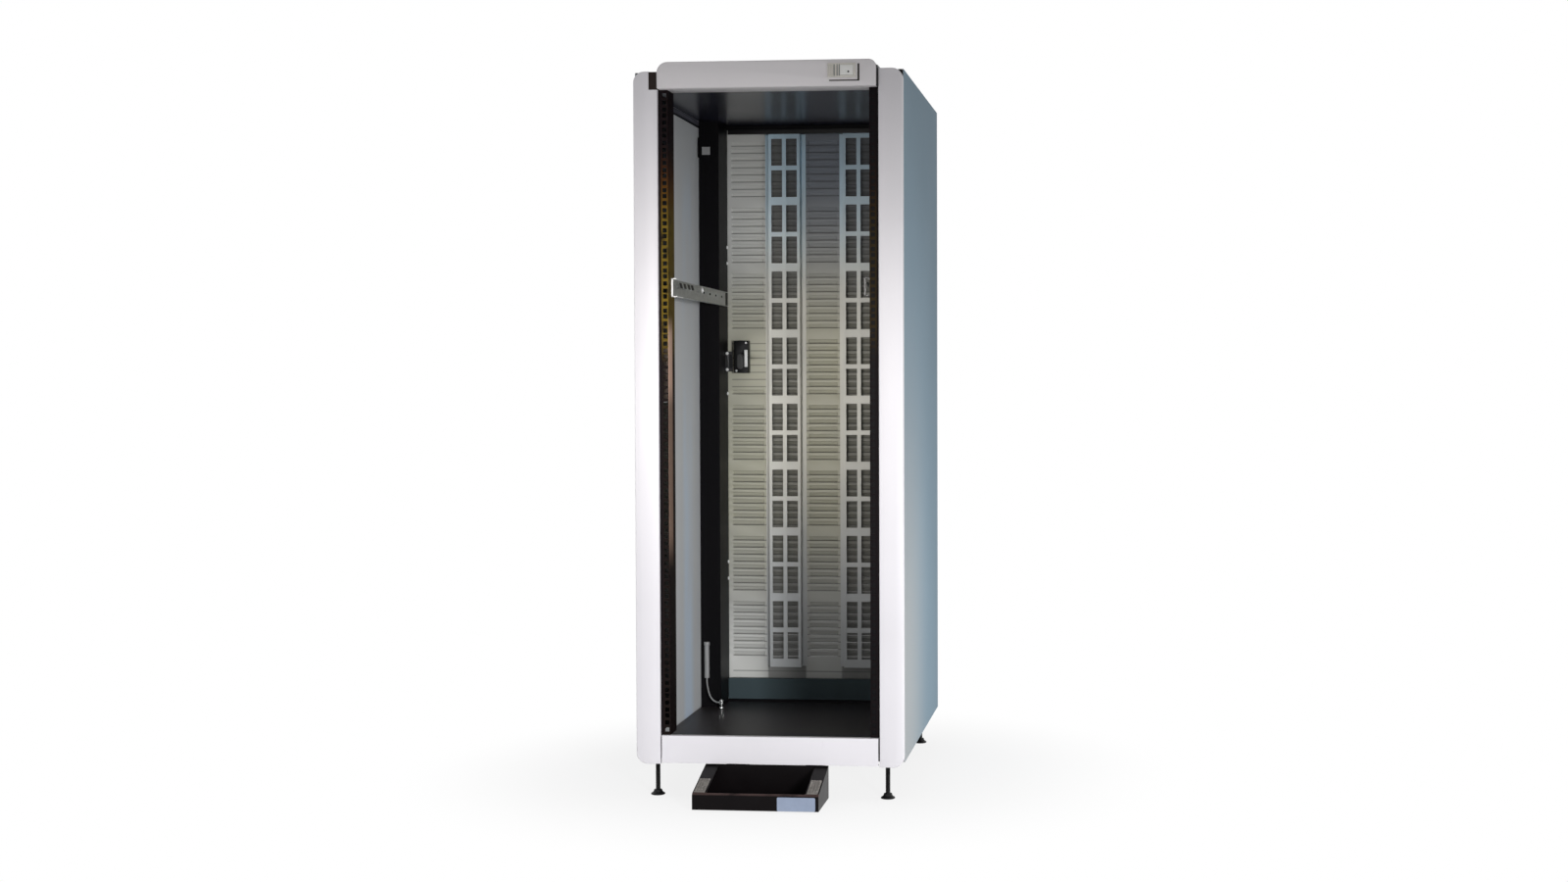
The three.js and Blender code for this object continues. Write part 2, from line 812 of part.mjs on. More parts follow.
// Door stiffener: hat section with two windows side by side in every row
function doorStiffener() {
  const sheet = doorSheet;
  const back = doorSkin - seat;
  const front = back - stiffenerDepth;
  const side = stiffenerWidth / 2;
  const flange = side + stiffenerFlange;
  const middle = -stiffenerCentre;
  const section = [
    [middle - flange, back], [middle - flange, back - sheet], [middle - side, back - sheet],
    [middle - side, front], [middle + side, front], [middle + side, back - sheet],
    [middle + flange, back - sheet], [middle + flange, back], [middle + side - sheet, back],
    [middle + side - sheet, front + sheet], [middle - side + sheet, front + sheet],
    [middle - side + sheet, back],
  ];
  const low = ventTop - ventPeriodCount * ventPitch - stiffenerFootRun;
  const hat = upright(section, low, ventTop + stiffenerTopRun);
  const windows = [];
  for (let period = 0; period < ventPeriodCount; period += 1) {
    const periodTop = ventTop - windowRowGap / 2 - period * ventPitch;
    for (const top of [periodTop, periodTop - windowHeight - windowGap]) {
      for (const left of [middle - windowMullion / 2 - windowWidth, middle + windowMullion / 2]) {
        windows.push(block([left, front - overrun, top - windowHeight],
          [left + windowWidth, front + sheet + overrun, top]));
      }
    }
  }
  return surface(hat.subtract(wasm.Manifold.union(windows)));
}

// Lock case on the inside of the door
const lockCaseFront = doorSkin - seat - lockCaseDepth;

function lockCase() {
  const halfWidth = lockCaseWidth / 2;
  const halfHeight = lockCaseHeight / 2;
  const body = panel([
    [-lockAcross - halfWidth, lockHeight - halfHeight], [-lockAcross + halfWidth, lockHeight - halfHeight],
    [-lockAcross + halfWidth, lockHeight + halfHeight], [-lockAcross - halfWidth, lockHeight + halfHeight],
  ], lockCaseFront, doorSkin - seat, lockCaseEdge);
  const bore = roundBar('y', spindleRadius + spindleClearance, [-lockAcross, lockHeight],
    lockCaseFront - overrun, doorSkin + overrun);
  return surface(cut(body, bore));
}

// Spring clip down the side of the lock case
function lockClip() {
  const left = -lockAcross + lockCaseWidth / 2 - clipWidth - lockCaseEdge / 2;
  const low = lockHeight - clipHeight / 2 - clipWidth / 2;
  return surface(block([left, lockCaseFront - seat - clipThickness, low],
    [left + clipWidth, lockCaseFront - seat, low + clipHeight]));
}

const camBack = frameBack - camLead - wearPadThickness - 2 * seat - frameSheet;

// Cam plate, drawn pointing down: the latched position is a quarter turn away
function lockCam() {
  const side = camWidth / 2;
  const shape = new THREE.Shape();
  shape.moveTo(-lockAcross + side, lockHeight);
  shape.absarc(-lockAcross, lockHeight, side, 0, Math.PI, false);
  shape.lineTo(-lockAcross - side, lockHeight - camReach + side);
  shape.absarc(-lockAcross, lockHeight - camReach + side, side, Math.PI, 2 * Math.PI, false);
  const plate = runback(shape, camBack - camThickness, camBack);
  const bore = roundBar('y', spindleRadius + seat, [-lockAcross, lockHeight],
    camBack - camThickness - overrun, camBack + overrun);
  return surface(cut(plate, bore));
}

const hubFront = cabinetDepth + rosetteThickness + 2 * seat;
const hubBack = hubFront + hubLength;

function lockSpindle() {
  const front = camBack - camThickness - spindleRadius / 2;
  return surface(roundBar('y', spindleRadius, [-lockAcross, lockHeight], front, hubFront + spindleRadius));
}

function handleRosette() {
  const disc = roundBar('y', rosetteRadius, [-lockAcross, lockHeight], cabinetDepth + seat,
    cabinetDepth + seat + rosetteThickness, largeSides);
  const bore = roundBar('y', spindleRadius + spindleClearance, [-lockAcross, lockHeight],
    cabinetDepth - overrun, hubBack);
  return surface(cut(disc, bore));
}

// Lever handle: a hub with a tapering arm, bored for the spindle and the key plug
function leverHandle() {
  const hub = roundBar('y', hubRadius, [-lockAcross, lockHeight], hubFront, hubBack, largeSides);
  const shape = new THREE.Shape();
  const tip = -lockAcross + leverReach;
  const root = leverWidth / 2;
  const end = leverTipWidth / 2;
  shape.moveTo(-lockAcross, lockHeight - root);
  shape.lineTo(tip - end, lockHeight - end);
  shape.absarc(tip - end, lockHeight, end, -Math.PI / 2, Math.PI / 2, false);
  shape.lineTo(-lockAcross, lockHeight + root);
  const arm = runback(shape, hubBack - leverThickness, hubBack);
  const spindleBore = roundBar('y', spindleRadius + seat, [-lockAcross, lockHeight],
    hubFront - overrun, hubFront + spindleRadius + seat);
  const plugBore = roundBar('y', keyPlugRadius + spindleClearance, [-lockAcross, lockHeight],
    hubBack - keyPlugDepth - seat, hubBack + overrun, largeSides);
  return surface(cut(join(hub, arm), spindleBore, plugBore));
}

function keyPlug() {
  const outside = hubBack + keyPlugProud;
  const barrel = roundBar('y', keyPlugRadius, [-lockAcross, lockHeight], hubBack - keyPlugDepth, outside, largeSides);
  const slot = block(
    [-lockAcross - keySlotWidth / 2, outside - keySlotDepth, lockHeight - keySlotHeight / 2],
    [-lockAcross + keySlotWidth / 2, outside + overrun, lockHeight + keySlotHeight / 2]);
  return surface(cut(barrel, slot));
}

// Strike angle on the rear post, with a wear pad for the cam
const strikeBack = frameBack - camLead;

function strikeAngle() {
  const wall = -rearPostInner + seat;
  const section = [
    [wall, strikeBack - strikeLength], [wall + frameSheet, strikeBack - strikeLength],
    [wall + frameSheet, strikeBack - frameSheet], [wall + strikeFlange, strikeBack - frameSheet],
    [wall + strikeFlange, strikeBack], [wall, strikeBack],
  ];
  const low = lockHeight - strikeDrop;
  return surface(upright(section, low, low + strikeHeight));
}

function wearPad() {
  const right = -rearPostInner + seat + strikeFlange - seat;
  const middle = lockHeight - strikeDrop + strikeHeight / 2;
  const back = strikeBack - frameSheet - seat;
  const shape = roundedOutline(right - wearPadWidth, right, middle - wearPadHeight / 2,
    middle + wearPadHeight / 2, [wearPadWidth / 3, wearPadWidth / 3, wearPadWidth / 3, wearPadWidth / 3]);
  return surface(runback(shape, back - wearPadThickness, back));
}

// Hinge bracket on the rear post: a leg, a plate over the door's edge and a pin
function hingeBracket(upper) {
  const face = frameBack + seat;
  const left = hingeAcross + hingeInset - hingePlateWidth;
  const right = hingeAcross + hingeInset;
  const back = hingeBack + hingeInset;
  const plan = [
    [left, face], [right, face], [right, hingeBack], [right - hingeInset / 2, back],
    [left + hingeInset / 2, back], [left, hingeBack],
  ];
  const doorEdge = upper ? doorTop + seat : doorBottom - seat;
  const away = upper ? 1 : -1;
  const span = (from, to) => [Math.min(from, to), Math.max(from, to)];
  const plate = upright(plan, ...span(doorEdge, doorEdge + away * hingePlate));
  const legEnd = doorEdge + away * (hingeBracketHeight - seat);
  const [legLow, legHigh] = span(doorEdge, legEnd);
  const leg = block([left, face, legLow], [right, face + hingePlate, legHigh]);
  const pin = roundBar('z', hingePin, [hingeAcross, hingeBack],
    ...span(doorEdge + away * hingePlate / 2, doorEdge - away * hingePinReach), largeSides);
  return surface(join(plate, leg, pin));
}

// Stabiliser: a pressed tray whose cheeks rise to the back, open between them
const stabiliserFront = -stabiliserReach;
const stabiliserRear = stabiliserFront + stabiliserLength;
const stabiliserLeft = stabiliserOffset - stabiliserWidth / 2;
const stabiliserRight = stabiliserOffset + stabiliserWidth / 2;
const stabiliserFrontTop = stabiliserFloorGap + stabiliserFrontHeight;
const stabiliserRearTop = stabiliserFloorGap + stabiliserRearHeight;

function cheekHeight(y) {
  const start = stabiliserFront + stabiliserLedge;
  const share = (y - start) / (stabiliserRear - start);
  return stabiliserFrontTop + share * (stabiliserRearTop - stabiliserFrontTop);
}

function stabiliserSide(inset) {
  const front = stabiliserFront + inset;
  const rear = stabiliserRear - inset;
  const low = stabiliserFloorGap + inset;
  const nose = stabiliserNose;
  const ledge = stabiliserFront + stabiliserLedge;
  return [
    [front, low], [rear, low], [rear, cheekHeight(rear) - inset], [ledge, stabiliserFrontTop - inset],
    [front + nose, stabiliserFrontTop - inset], [front, stabiliserFrontTop - inset - nose],
  ];
}

function stabiliserFoot() {
  const sheet = stabiliserSheet;
  const body = crossbar(stabiliserSide(0), stabiliserLeft, stabiliserRight);
  const hollow = crossbar(stabiliserSide(sheet), stabiliserLeft + sheet, stabiliserRight - sheet);
  const mouth = block(
    [stabiliserLeft + stabiliserCheek, stabiliserFront + stabiliserLedge, stabiliserFloorGap + sheet],
    [stabiliserRight - stabiliserCheek, stabiliserRear - sheet, stabiliserRearTop + overrun]);
  return surface(cut(body, hollow, mouth));
}

// Arm behind the stabiliser, a channel that runs in its guide
function stabiliserArm(side) {
  const middle = stabiliserOffset + side * armSpread;
  const left = middle - armWidth / 2;
  const right = middle + armWidth / 2;
  const low = armRise;
  const high = armRise + armHeight;
  const sheet = stabiliserSheet;
  const section = [
    [left, low], [left + sheet, low], [left + sheet, high - sheet], [right - sheet, high - sheet],
    [right - sheet, low], [right, low], [right, high], [left, high],
  ];
  return surface(runback(section, stabiliserRear + seat, stabiliserRear + seat + armLength));
}

// Guide under the base pan, wrapped round the arm
function stabiliserGuide(side) {
  const middle = stabiliserOffset + side * armSpread;
  const inner = armWidth / 2 + guideClearance;
  const outer = inner + guideSheet;
  const floor = armRise - guideClearance;
  const low = floor - guideSheet;
  const high = floorTop - frameSheet - seat;
  const ceilingOfGuide = armRise + armHeight + guideClearance;
  const section = [
    [middle - outer, low], [middle - inner + guideLip, low], [middle - inner + guideLip, floor],
    [middle - inner, floor], [middle - inner, ceilingOfGuide], [middle + inner, ceilingOfGuide],
    [middle + inner, floor], [middle + inner - guideLip, floor], [middle + inner - guideLip, low],
    [middle + outer, low], [middle + outer, high], [middle + outer - guideSheet, high],
    [middle + outer - guideSheet, ceilingOfGuide + guideSheet],
    [middle - outer + guideSheet, ceilingOfGuide + guideSheet],
    [middle - outer + guideSheet, high], [middle - outer, high],
  ];
  const front = stabiliserRear + stabiliserReach + guideSpare;
  return surface(runback(section, front, front + guideLength));
}

// Tread pad on the slope of a cheek
function treadPad(side) {
  const middle = stabiliserOffset + side * (stabiliserWidth - stabiliserCheek) / 2;
  const front = stabiliserFront + treadSetback + stabiliserLedge;
  const rear = front + treadLength;
  const section = [
    [front, cheekHeight(front) + seat], [rear, cheekHeight(rear) + seat],
    [rear, cheekHeight(rear) + seat + treadThickness], [front, cheekHeight(front) + seat + treadThickness],
  ];
  return surface(crossbar(section, middle - treadWidth / 2, middle + treadWidth / 2));
}

// Blank plate on the stabiliser's front
function blankPlate() {
  const right = stabiliserRight - plateMargin;
  const low = stabiliserFloorGap + (stabiliserFrontHeight - plateHeight - stabiliserNose) / 2;
  return surface(block([right - plateWidth, stabiliserFront - seat - plateThickness, low],
    [right, stabiliserFront - seat, low + plateHeight]));
}

// Levelling foot: a round pad with a socket, and a threaded stem
function footPad() {
  const socket = stemRadius + seat;
  return surface(turned([
    [0, 0], [padRadius, 0], [padRadius, padRim], [padNeck, padHeight], [socket, padHeight],
    [socket, padHeight - padSocketDepth], [0, padHeight - padSocketDepth],
  ], largeSides));
}

function footStem() {
  const low = padHeight - padSocketDepth + seat;
  return surface(roundBar('z', stemRadius, [0, 0], low, stemTop));
}

// Earth connection: sleeve on the rear post, stud on the floor and the lead between them
function earthSleeve() {
  const place = [-sleeveAcross, sleeveMiddle];
  const tube = roundBar('z', sleeveRadius, place, sleeveBottom, sleeveTop);
  const cap = roundBar('z', sleeveCapRadius, place, sleeveTop - sleeveCapHeight, sleeveTop);
  const bore = roundBar('z', sleeveRadius - sleeveWall, place, sleeveBottom - overrun,
    sleeveTop - sleeveCapHeight);
  return surface(cut(join(tube, cap), bore));
}

function earthStud() {
  const place = [-studAcross, studFromFront];
  const low = floorTop + seat;
  const rod = roundBar('z', studRadius, place, low, low + studHeight, smallSides);
  const foot = roundBar('z', studNutRadius, place, low, low + studNutHeight, 6);
  const nut = roundBar('z', studNutRadius, place, low + studLugRise, low + studLugRise + studNutHeight, 6);
  return surface(join(rod, foot, nut));
}

function earthLead() {
  const points = leadRoute.map(([inwards, forwards, up]) => new THREE.Vector3(
    inwards - half, rearPostFace - forwards, floorTop + up));
  const curve = new THREE.CatmullRomCurve3(points);
  const ring = new THREE.Shape();
  ring.absarc(0, 0, leadRadius, 0, 2 * Math.PI, false);
  return new THREE.ExtrudeGeometry(ring, {
    steps: 2 * points.length, extrudePath: curve, bevelEnabled: false, curveSegments: 4,
  });
}

// Frame
add('base_pan', basePan(), blackPaint());
add('roof_pan', roofPan(), blackPaint());
add('top_cover', topCover(), coverPaint());
addPair('front_post', post(frontPostInner, frontPostFace, frontPostBack, footFront), blackPaint);
addPair('rear_post', post(rearPostInner, rearPostFace, frameBack, footRear, coverHook()), blackPaint);
add('front_sill', crossChannel(frontPostInner - seat, sillSetback, sillSetback + sillDepth,
  floorTop + seat, kickTop - coverSheet - seat, -1), blackPaint());
add('rear_sill', crossChannel(rearPostInner - seat, frameBack - rearMemberDepth, frameBack,
  floorTop + seat, floorTop + rearSillHeight, 1), blackPaint());
add('rear_lintel', crossChannel(rearPostInner - seat, frameBack - rearMemberDepth, frameBack,
  openingTop + frameSheet, ceiling - seat, 1), blackPaint());
addPair('rack_rail', rackRail(), blackPaint);
addPair('chassis_runner', chassisRunner(), zinc);

// Front trims
add('left_corner_trim', cornerTrim('left'), trimPaint());
add('right_corner_trim', cornerTrim('right'), trimPaint());
add('door_hinge_block', hingeBlock(), brownPlastic());
add('kick_panel', kickPanel(), trimPaint());
add('header_fascia', headerFascia(), headerPaint());
add('switch_bezel', switchBezel(), palePlastic());
add('power_button', powerButton(), palePlastic());
addPair('side_cover', sideCover(), coverPaint);

// Rear door and its lock
add('rear_door', rearDoor(), doorPaint());
addPair('door_stiffener', doorStiffener(), doorPaint);
add('upper_hinge_bracket', hingeBracket(true), zinc());
add('lower_hinge_bracket', hingeBracket(false), zinc());
add('lock_case', lockCase(), blackPlastic());
add('lock_clip', lockClip(), zinc());
add('lock_cam', lockCam(), blackPaint());
add('lock_spindle', lockSpindle(), zinc());
add('handle_rosette', handleRosette(), blackPlastic());
add('lever_handle', leverHandle(), blackPlastic());
add('key_plug', keyPlug(), zinc());
add('strike_angle', strikeAngle(), zinc());
add('strike_wear_pad', wearPad(), blackPlastic());

// Stabiliser
add('stabiliser_foot', stabiliserFoot(), blackPaint());
add('left_stabiliser_arm', stabiliserArm(-1), blackPaint());
add('right_stabiliser_arm', stabiliserArm(1), blackPaint());
add('left_stabiliser_guide', stabiliserGuide(-1), zinc());
add('right_stabiliser_guide', stabiliserGuide(1), zinc());
add('left_tread_pad', treadPad(-1), greyRubber());
add('right_tread_pad', treadPad(1), greyRubber());
add('blank_plate', blankPlate(), paleFilm());

// Levelling feet
for (const [row, y] of [['front', footFront], ['rear', footRear]]) {
  for (const [side, x] of [['left', -footAcross], ['right', footAcross]]) {
    add(`${row}_${side}_foot_pad`, footPad(), blackPlastic(), [x, y, 0]);
    add(`${row}_${side}_foot_stem`, footStem(), blackPaint(), [x, y, 0]);
  }
}

// Earth connection
add('earth_sleeve', earthSleeve(), greySleeve());
add('earth_stud', earthStud(), zinc());
add('earth_lead', earthLead(), greySleeve());

// The origin is below the middle of the bounding box, from the stabiliser to the key plug
cabinet.position.y = (stabiliserReach + seat + plateThickness - hubBack - keyPlugProud) / 2;

export default cabinet;
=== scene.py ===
# Looks of the server rack cabinet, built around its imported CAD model.
# Metres, in the row frame: X to the right seen from the front, Y to the back, Z up.

import json
import math

import bmesh
import bpy
from bpy.props import FloatProperty, FloatVectorProperty, PointerProperty
from mathutils import Matrix, Vector

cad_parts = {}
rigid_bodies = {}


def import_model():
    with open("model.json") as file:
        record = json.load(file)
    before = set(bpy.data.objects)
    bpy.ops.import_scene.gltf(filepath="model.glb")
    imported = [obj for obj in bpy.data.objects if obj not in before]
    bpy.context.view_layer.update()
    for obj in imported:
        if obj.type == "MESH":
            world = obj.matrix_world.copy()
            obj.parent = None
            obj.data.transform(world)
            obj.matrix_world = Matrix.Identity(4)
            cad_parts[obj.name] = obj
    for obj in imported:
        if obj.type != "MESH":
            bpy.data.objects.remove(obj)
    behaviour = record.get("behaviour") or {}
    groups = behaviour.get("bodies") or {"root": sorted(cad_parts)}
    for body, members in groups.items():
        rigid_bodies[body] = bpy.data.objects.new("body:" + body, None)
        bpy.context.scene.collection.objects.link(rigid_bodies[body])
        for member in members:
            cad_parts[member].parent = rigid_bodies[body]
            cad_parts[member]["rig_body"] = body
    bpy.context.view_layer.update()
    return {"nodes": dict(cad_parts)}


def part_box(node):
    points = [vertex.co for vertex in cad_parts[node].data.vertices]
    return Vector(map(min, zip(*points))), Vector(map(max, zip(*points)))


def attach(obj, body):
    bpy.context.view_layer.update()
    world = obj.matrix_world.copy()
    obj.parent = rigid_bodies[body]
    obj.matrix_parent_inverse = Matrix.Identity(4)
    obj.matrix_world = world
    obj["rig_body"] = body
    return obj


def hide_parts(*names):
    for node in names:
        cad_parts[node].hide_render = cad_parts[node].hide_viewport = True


bl_info = {
    "name": "Server rack cabinet looks",
    "version": (1, 0, 0),
    "blender": (4, 5, 0),
    "location": "View3D > Sidebar > Rack",
    "description": "Builds the finishes, detailed pieces and stage of a server rack cabinet",
    "category": "Object",
}

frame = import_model()

MM = 0.001
WELD = 0.02 * MM
RIGHT = Vector((1, 0, 0))
BACK = Vector((0, 1, 0))
UP = Vector((0, 0, 1))
WHITE = (1, 1, 1, 1)
# The way to the inside along X, seen from each side
INWARDS = {"left": 1, "right": -1}
LOUVRE_GROUPS = 8
LOUVRE_ROWS = 8
# Left and right ends of the louvres, seen between the stiffeners and through their windows
LOUVRE_COLUMNS = ((-0.241, -0.155), (-0.138, -0.056), (-0.039, 0.039), (0.056, 0.138),
                  (0.155, 0.241))
# How far the top of a louvre's hood stands out, as a share of its foot's rise
HOOD_BROW = 0.62


def linear(*screen):
    """A colour given as 0 to 255 screen values, as Blender's linear values."""
    return tuple(share / 12.92 if share <= 0.04045 else ((share + 0.055) / 1.055) ** 2.4
                 for share in (value / 255 for value in screen))


def shade(colour, factor=1):
    """A colour made lighter or darker, for a shader socket."""
    return (*(min(1.0, part * factor) for part in colour), 1.0)


def tinted(colour, *factors):
    """A colour with its red, green and blue multiplied one by one."""
    return tuple(part * factor for part, factor in zip(colour, factors))


def length_setting(name, description, default):
    return FloatProperty(name=name, description=description, default=default,
                         unit="LENGTH", precision=4)


def power_setting(name, description, default):
    return FloatProperty(name=name, description=description, default=default, min=0)


def colour_setting(name, description, *screen):
    return FloatVectorProperty(name=name, description=description, default=linear(*screen),
                               subtype="COLOR", size=3, min=0, max=1)


class RackColours(bpy.types.PropertyGroup):
    """Colours of the cabinet's finishes"""

    trim: colour_setting("Trim paint", "Corner trims and kick panel", 234, 231, 235)
    header: colour_setting("Header paint", "Header fascia", 234, 230, 232)
    cover: colour_setting("Cover paint", "Side and top covers", 147, 170, 185)
    # The inside colour is the cover paint made much paler, standing in for the light on the inner
    # face: painted light
    cover_inside: colour_setting("Inside of the covers", "Side covers' inner face", 240, 242, 243)
    frame_black: colour_setting("Frame black", "Posts and rails", 17, 16, 18)
    pan_black: colour_setting("Pan black", "Roof and base pans and sills", 34, 34, 38)
    door: colour_setting("Door paint", "Rear door", 184, 184, 180)
    stiffener: colour_setting("Stiffener paint", "Rear door's stiffeners", 196, 198, 198)
    tray_black: colour_setting("Stabiliser black", "Stabiliser and its arms", 15, 12, 13)
    plating: colour_setting("Zinc", "Plated brackets and channels", 196, 198, 196)
    # The yellow stands in for the light's sheen round the rail's holes: painted sheen
    rail_gold: colour_setting("Rail passivation", "Yellow film at the rail's holes", 112, 92, 30)
    plastic: colour_setting("Black plastic", "Lock, lever and foot pads", 17, 17, 18)
    switch: colour_setting("Switch plastic", "Switch bezel and button", 226, 222, 214)
    hinge: colour_setting("Hinge block", "Front door's hinge block", 31, 22, 18)
    tread: colour_setting("Tread rubber", "Tread pads", 138, 133, 128)
    plate: colour_setting("Blank plate", "Film plate on the stabiliser", 142, 154, 176)
    sleeve: colour_setting("Earth sleeve", "Sleeve and lead", 150, 150, 150)


class RackSizes(bpy.types.PropertyGroup):
    """Sizes of the detail that the CAD solids leave out"""

    sheet: length_setting("Door sheet", "Thickness of the rear door's sheet", 1.5 * MM)
    fold: length_setting("Fold radius", "Outer radius of the folded frame sheets", 0.9 * MM)
    louvre_rise: length_setting("Louvre rise", "How far a louvre stands out", 5 * MM)
    louvre_height: length_setting("Louvre height", "Height of one louvre", 12 * MM)
    louvre_pitch: length_setting("Louvre pitch", "From louvre to louvre", 18.7 * MM)
    group_pitch: length_setting("Group pitch", "From group to group of louvres", 171 * MM)
    group_margin: length_setting("Group margin", "From the door's top to its louvres", 34.9 * MM)
    thread_pitch: length_setting("Thread pitch", "Pitch of the levelling feet", 1.75 * MM)
    thread_depth: length_setting("Thread depth", "Depth of the levelling feet's thread", 0.8 * MM)


class RackStage(bpy.types.PropertyGroup):
    """Camera and lamps"""

    focal: FloatProperty(name="Focal length", description="Focal length on a 36 mm sensor",
                         default=46.5439, min=10, max=200)
    sky: power_setting("Sky", "Strength of the even light", 0.25)
    key: power_setting("Key", "Power of the spot from the front right, in watts", 600)
    pool: power_setting("Pool", "Power of the narrow spot at mid-height, in watts", 480)
    low: power_setting("Low", "Power of the low front lamp, in watts", 3)
    side: power_setting("Side", "Power of the low right lamp, in watts", 4)


def sizes():
    return bpy.context.scene.rack_sizes


# Materials


class Wire:
    """A node socket that takes part in Python expressions."""

    def __init__(self, nodes, socket):
        self.nodes = nodes
        self.socket = socket

    def __add__(self, other):
        return self.nodes.math("ADD", self, other)

    def __sub__(self, other):
        return self.nodes.math("SUBTRACT", self, other)

    def __rsub__(self, other):
        return self.nodes.math("SUBTRACT", other, self)

    def __mul__(self, other):
        return self.nodes.math("MULTIPLY", self, other)

    def __mod__(self, other):
        return self.nodes.math("FLOORED_MODULO", self, other)

    def __gt__(self, other):
        return self.nodes.math("GREATER_THAN", self, other)

    def __lt__(self, other):
        return self.nodes.math("LESS_THAN", self, other)

    def __abs__(self):
        return self.nodes.math("ABSOLUTE", self, 0)

    __radd__ = __add__
    __rmul__ = __mul__


class Nodes:
    """A node tree in the making."""

    def __init__(self, tree):
        self.tree = tree
        self._place = None

    def node(self, kind, settings, inputs, output=0):
        """A node with its settings made first, then the values or links of its sockets."""
        made = self.tree.nodes.new(kind)
        for name, value in settings.items():
            setattr(made, name, value)
        for name, value in inputs.items():
            self.feed(made.inputs[name], value)
        return Wire(self, made.outputs[output])

    def feed(self, socket, value):
        if isinstance(value, Wire):
            self.tree.links.new(value.socket, socket)
        else:
            socket.default_value = value

    def math(self, operation, first, second):
        return self.node("ShaderNodeMath", {"operation": operation}, {0: first, 1: second})

    def seen(self):
        """1 for rays that show the surroundings themselves."""
        path = self.tree.nodes.new("ShaderNodeLightPath")
        camera, glossy, through = (
            Wire(self, path.outputs[name])
            for name in ("Is Camera Ray", "Is Glossy Ray", "Is Transmission Ray"))
        return self.math("MAXIMUM", self.math("MAXIMUM", camera, glossy), through)

    def place(self):
        if self._place is None:
            self._place = self.node("ShaderNodeTexCoord", {}, {}, "Object")
        return self._place

    def stretched(self, x, y, z):
        return self.node("ShaderNodeMapping", {}, {"Vector": self.place(), "Scale": (x, y, z)})

    def axis(self, letter, vector=None):
        return self.node("ShaderNodeSeparateXYZ", {}, {"Vector": vector or self.place()}, letter)

    def noise(self, scale, detail=2.0, roughness=0.5, vector=None):
        return self.node("ShaderNodeTexNoise", {}, {
            "Vector": vector or self.place(), "Scale": scale, "Detail": detail,
            "Roughness": roughness})

    def cells(self, scale, output="Distance"):
        return self.node("ShaderNodeTexVoronoi", {}, {
            "Vector": self.place(), "Scale": scale}, output)

    def band(self, value, low, high):
        """0 below low, 1 above high and a smooth slope between them."""
        return self.node("ShaderNodeMapRange", {"interpolation_type": "SMOOTHSTEP"}, {
            "Value": value, "From Min": low, "From Max": high})

    def fade(self, value, low, high):
        """1 below low, 0 above high and a smooth slope between them."""
        return 1 - self.band(value, low, high)

    def window(self, value, start, full, last, end):
        """1 from full to last, with smooth slopes down to start and end."""
        return self.band(value, start, full) * self.fade(value, last, end)

    def clouds(self, scale, detail=3, roughness=0.5):
        return self.band(self.noise(scale, detail, roughness), 0.3, 0.7)

    def mix(self, factor, first, second):
        return self.node("ShaderNodeMix", {"data_type": "RGBA"},
                         {0: factor, 6: first, 7: second}, 2)

    def bump(self, height, depth, strength):
        return self.node("ShaderNodeBump", {}, {
            "Height": height, "Distance": depth, "Strength": strength})

    def grain(self, scale, depth, strength):
        return self.bump(self.noise(scale), depth, strength)


class Finish(Nodes):
    """A material in the making."""

    def __init__(self, name):
        self.material = bpy.data.materials.new(name)
        self.material.use_nodes = True
        super().__init__(self.material.node_tree)
        self.shader = self.tree.nodes["Principled BSDF"]

    def set(self, **sockets):
        """The material with its shader's sockets, named with underscores, set or linked."""
        for name, value in sockets.items():
            self.feed(self.shader.inputs[name.replace("_", " ")], value)
        return self.material


def powder_paint(name, colour, roughness, grain, depth):
    """Powder coat: orange peel, faint cloudiness and a little dust low down."""
    finish = Finish(name)
    tone = finish.mix(finish.clouds(2.2), shade(colour, 0.965), shade(colour, 1.03))
    scuffs = finish.band(finish.noise(28, 5, 0.65, finish.stretched(1, 1, 0.35)), 0.66, 0.8)
    dirt = scuffs * finish.fade(finish.axis("Z"), 0.05, 0.5) * 0.35
    return finish.set(
        Base_Color=finish.mix(dirt, tone, shade(colour, 0.78)),
        Roughness=finish.noise(9) * 0.08 + (roughness - 0.04),
        Normal=finish.grain(grain, depth, 0.5))


def black_paint(name, colour, roughness, specular):
    """Semi-gloss black: faint streaks in the gloss, and settled dust on what faces up."""
    finish = Finish(name)
    streaks = finish.noise(5, 3, 0.6, finish.stretched(1, 1, 0.12))
    dust = finish.band(finish.noise(60, 4, 0.7), 0.5, 0.75)
    normal = finish.node("ShaderNodeTexCoord", {}, {}, "Normal")
    facing_up = finish.band(finish.axis("Z", normal), 0.6, 0.95)
    tone = finish.mix(finish.band(streaks, 0.35, 0.7), shade(colour, 0.85), shade(colour, 1.2))
    return finish.set(
        Base_Color=finish.mix(dust * facing_up * 0.04, tone, shade(linear(150, 146, 140))),
        Specular_IOR_Level=specular,
        Roughness=streaks * 0.08 + (roughness - 0.04),
        Normal=finish.grain(500, 0.006 * MM, 0.3))


def tray_paint(name, colour):
    """Black of the stabiliser, with a painted brownish highlight along the top edge of its front
    wall.
    """
    finish = Finish(name)
    low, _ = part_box("stabiliser_foot")
    cloud = finish.noise(30, 4, 0.6)
    forward = finish.fade(finish.axis("Y"), low.y + 6 * MM, low.y + 12 * MM)
    # Painted highlight: a brownish band along the top edge of the front wall
    lip = finish.band(finish.axis("Z"), low.z + 31 * MM, low.z + 34 * MM) * forward
    tone = finish.mix(cloud, shade(colour, 0.8), shade(colour, 1.25))
    tone = finish.mix(lip * finish.band(cloud, 0.2, 0.6), tone, shade(linear(74, 60, 58)))
    return finish.set(Base_Color=tone, Specular_IOR_Level=0.06, Roughness=cloud * 0.1 + 0.3)


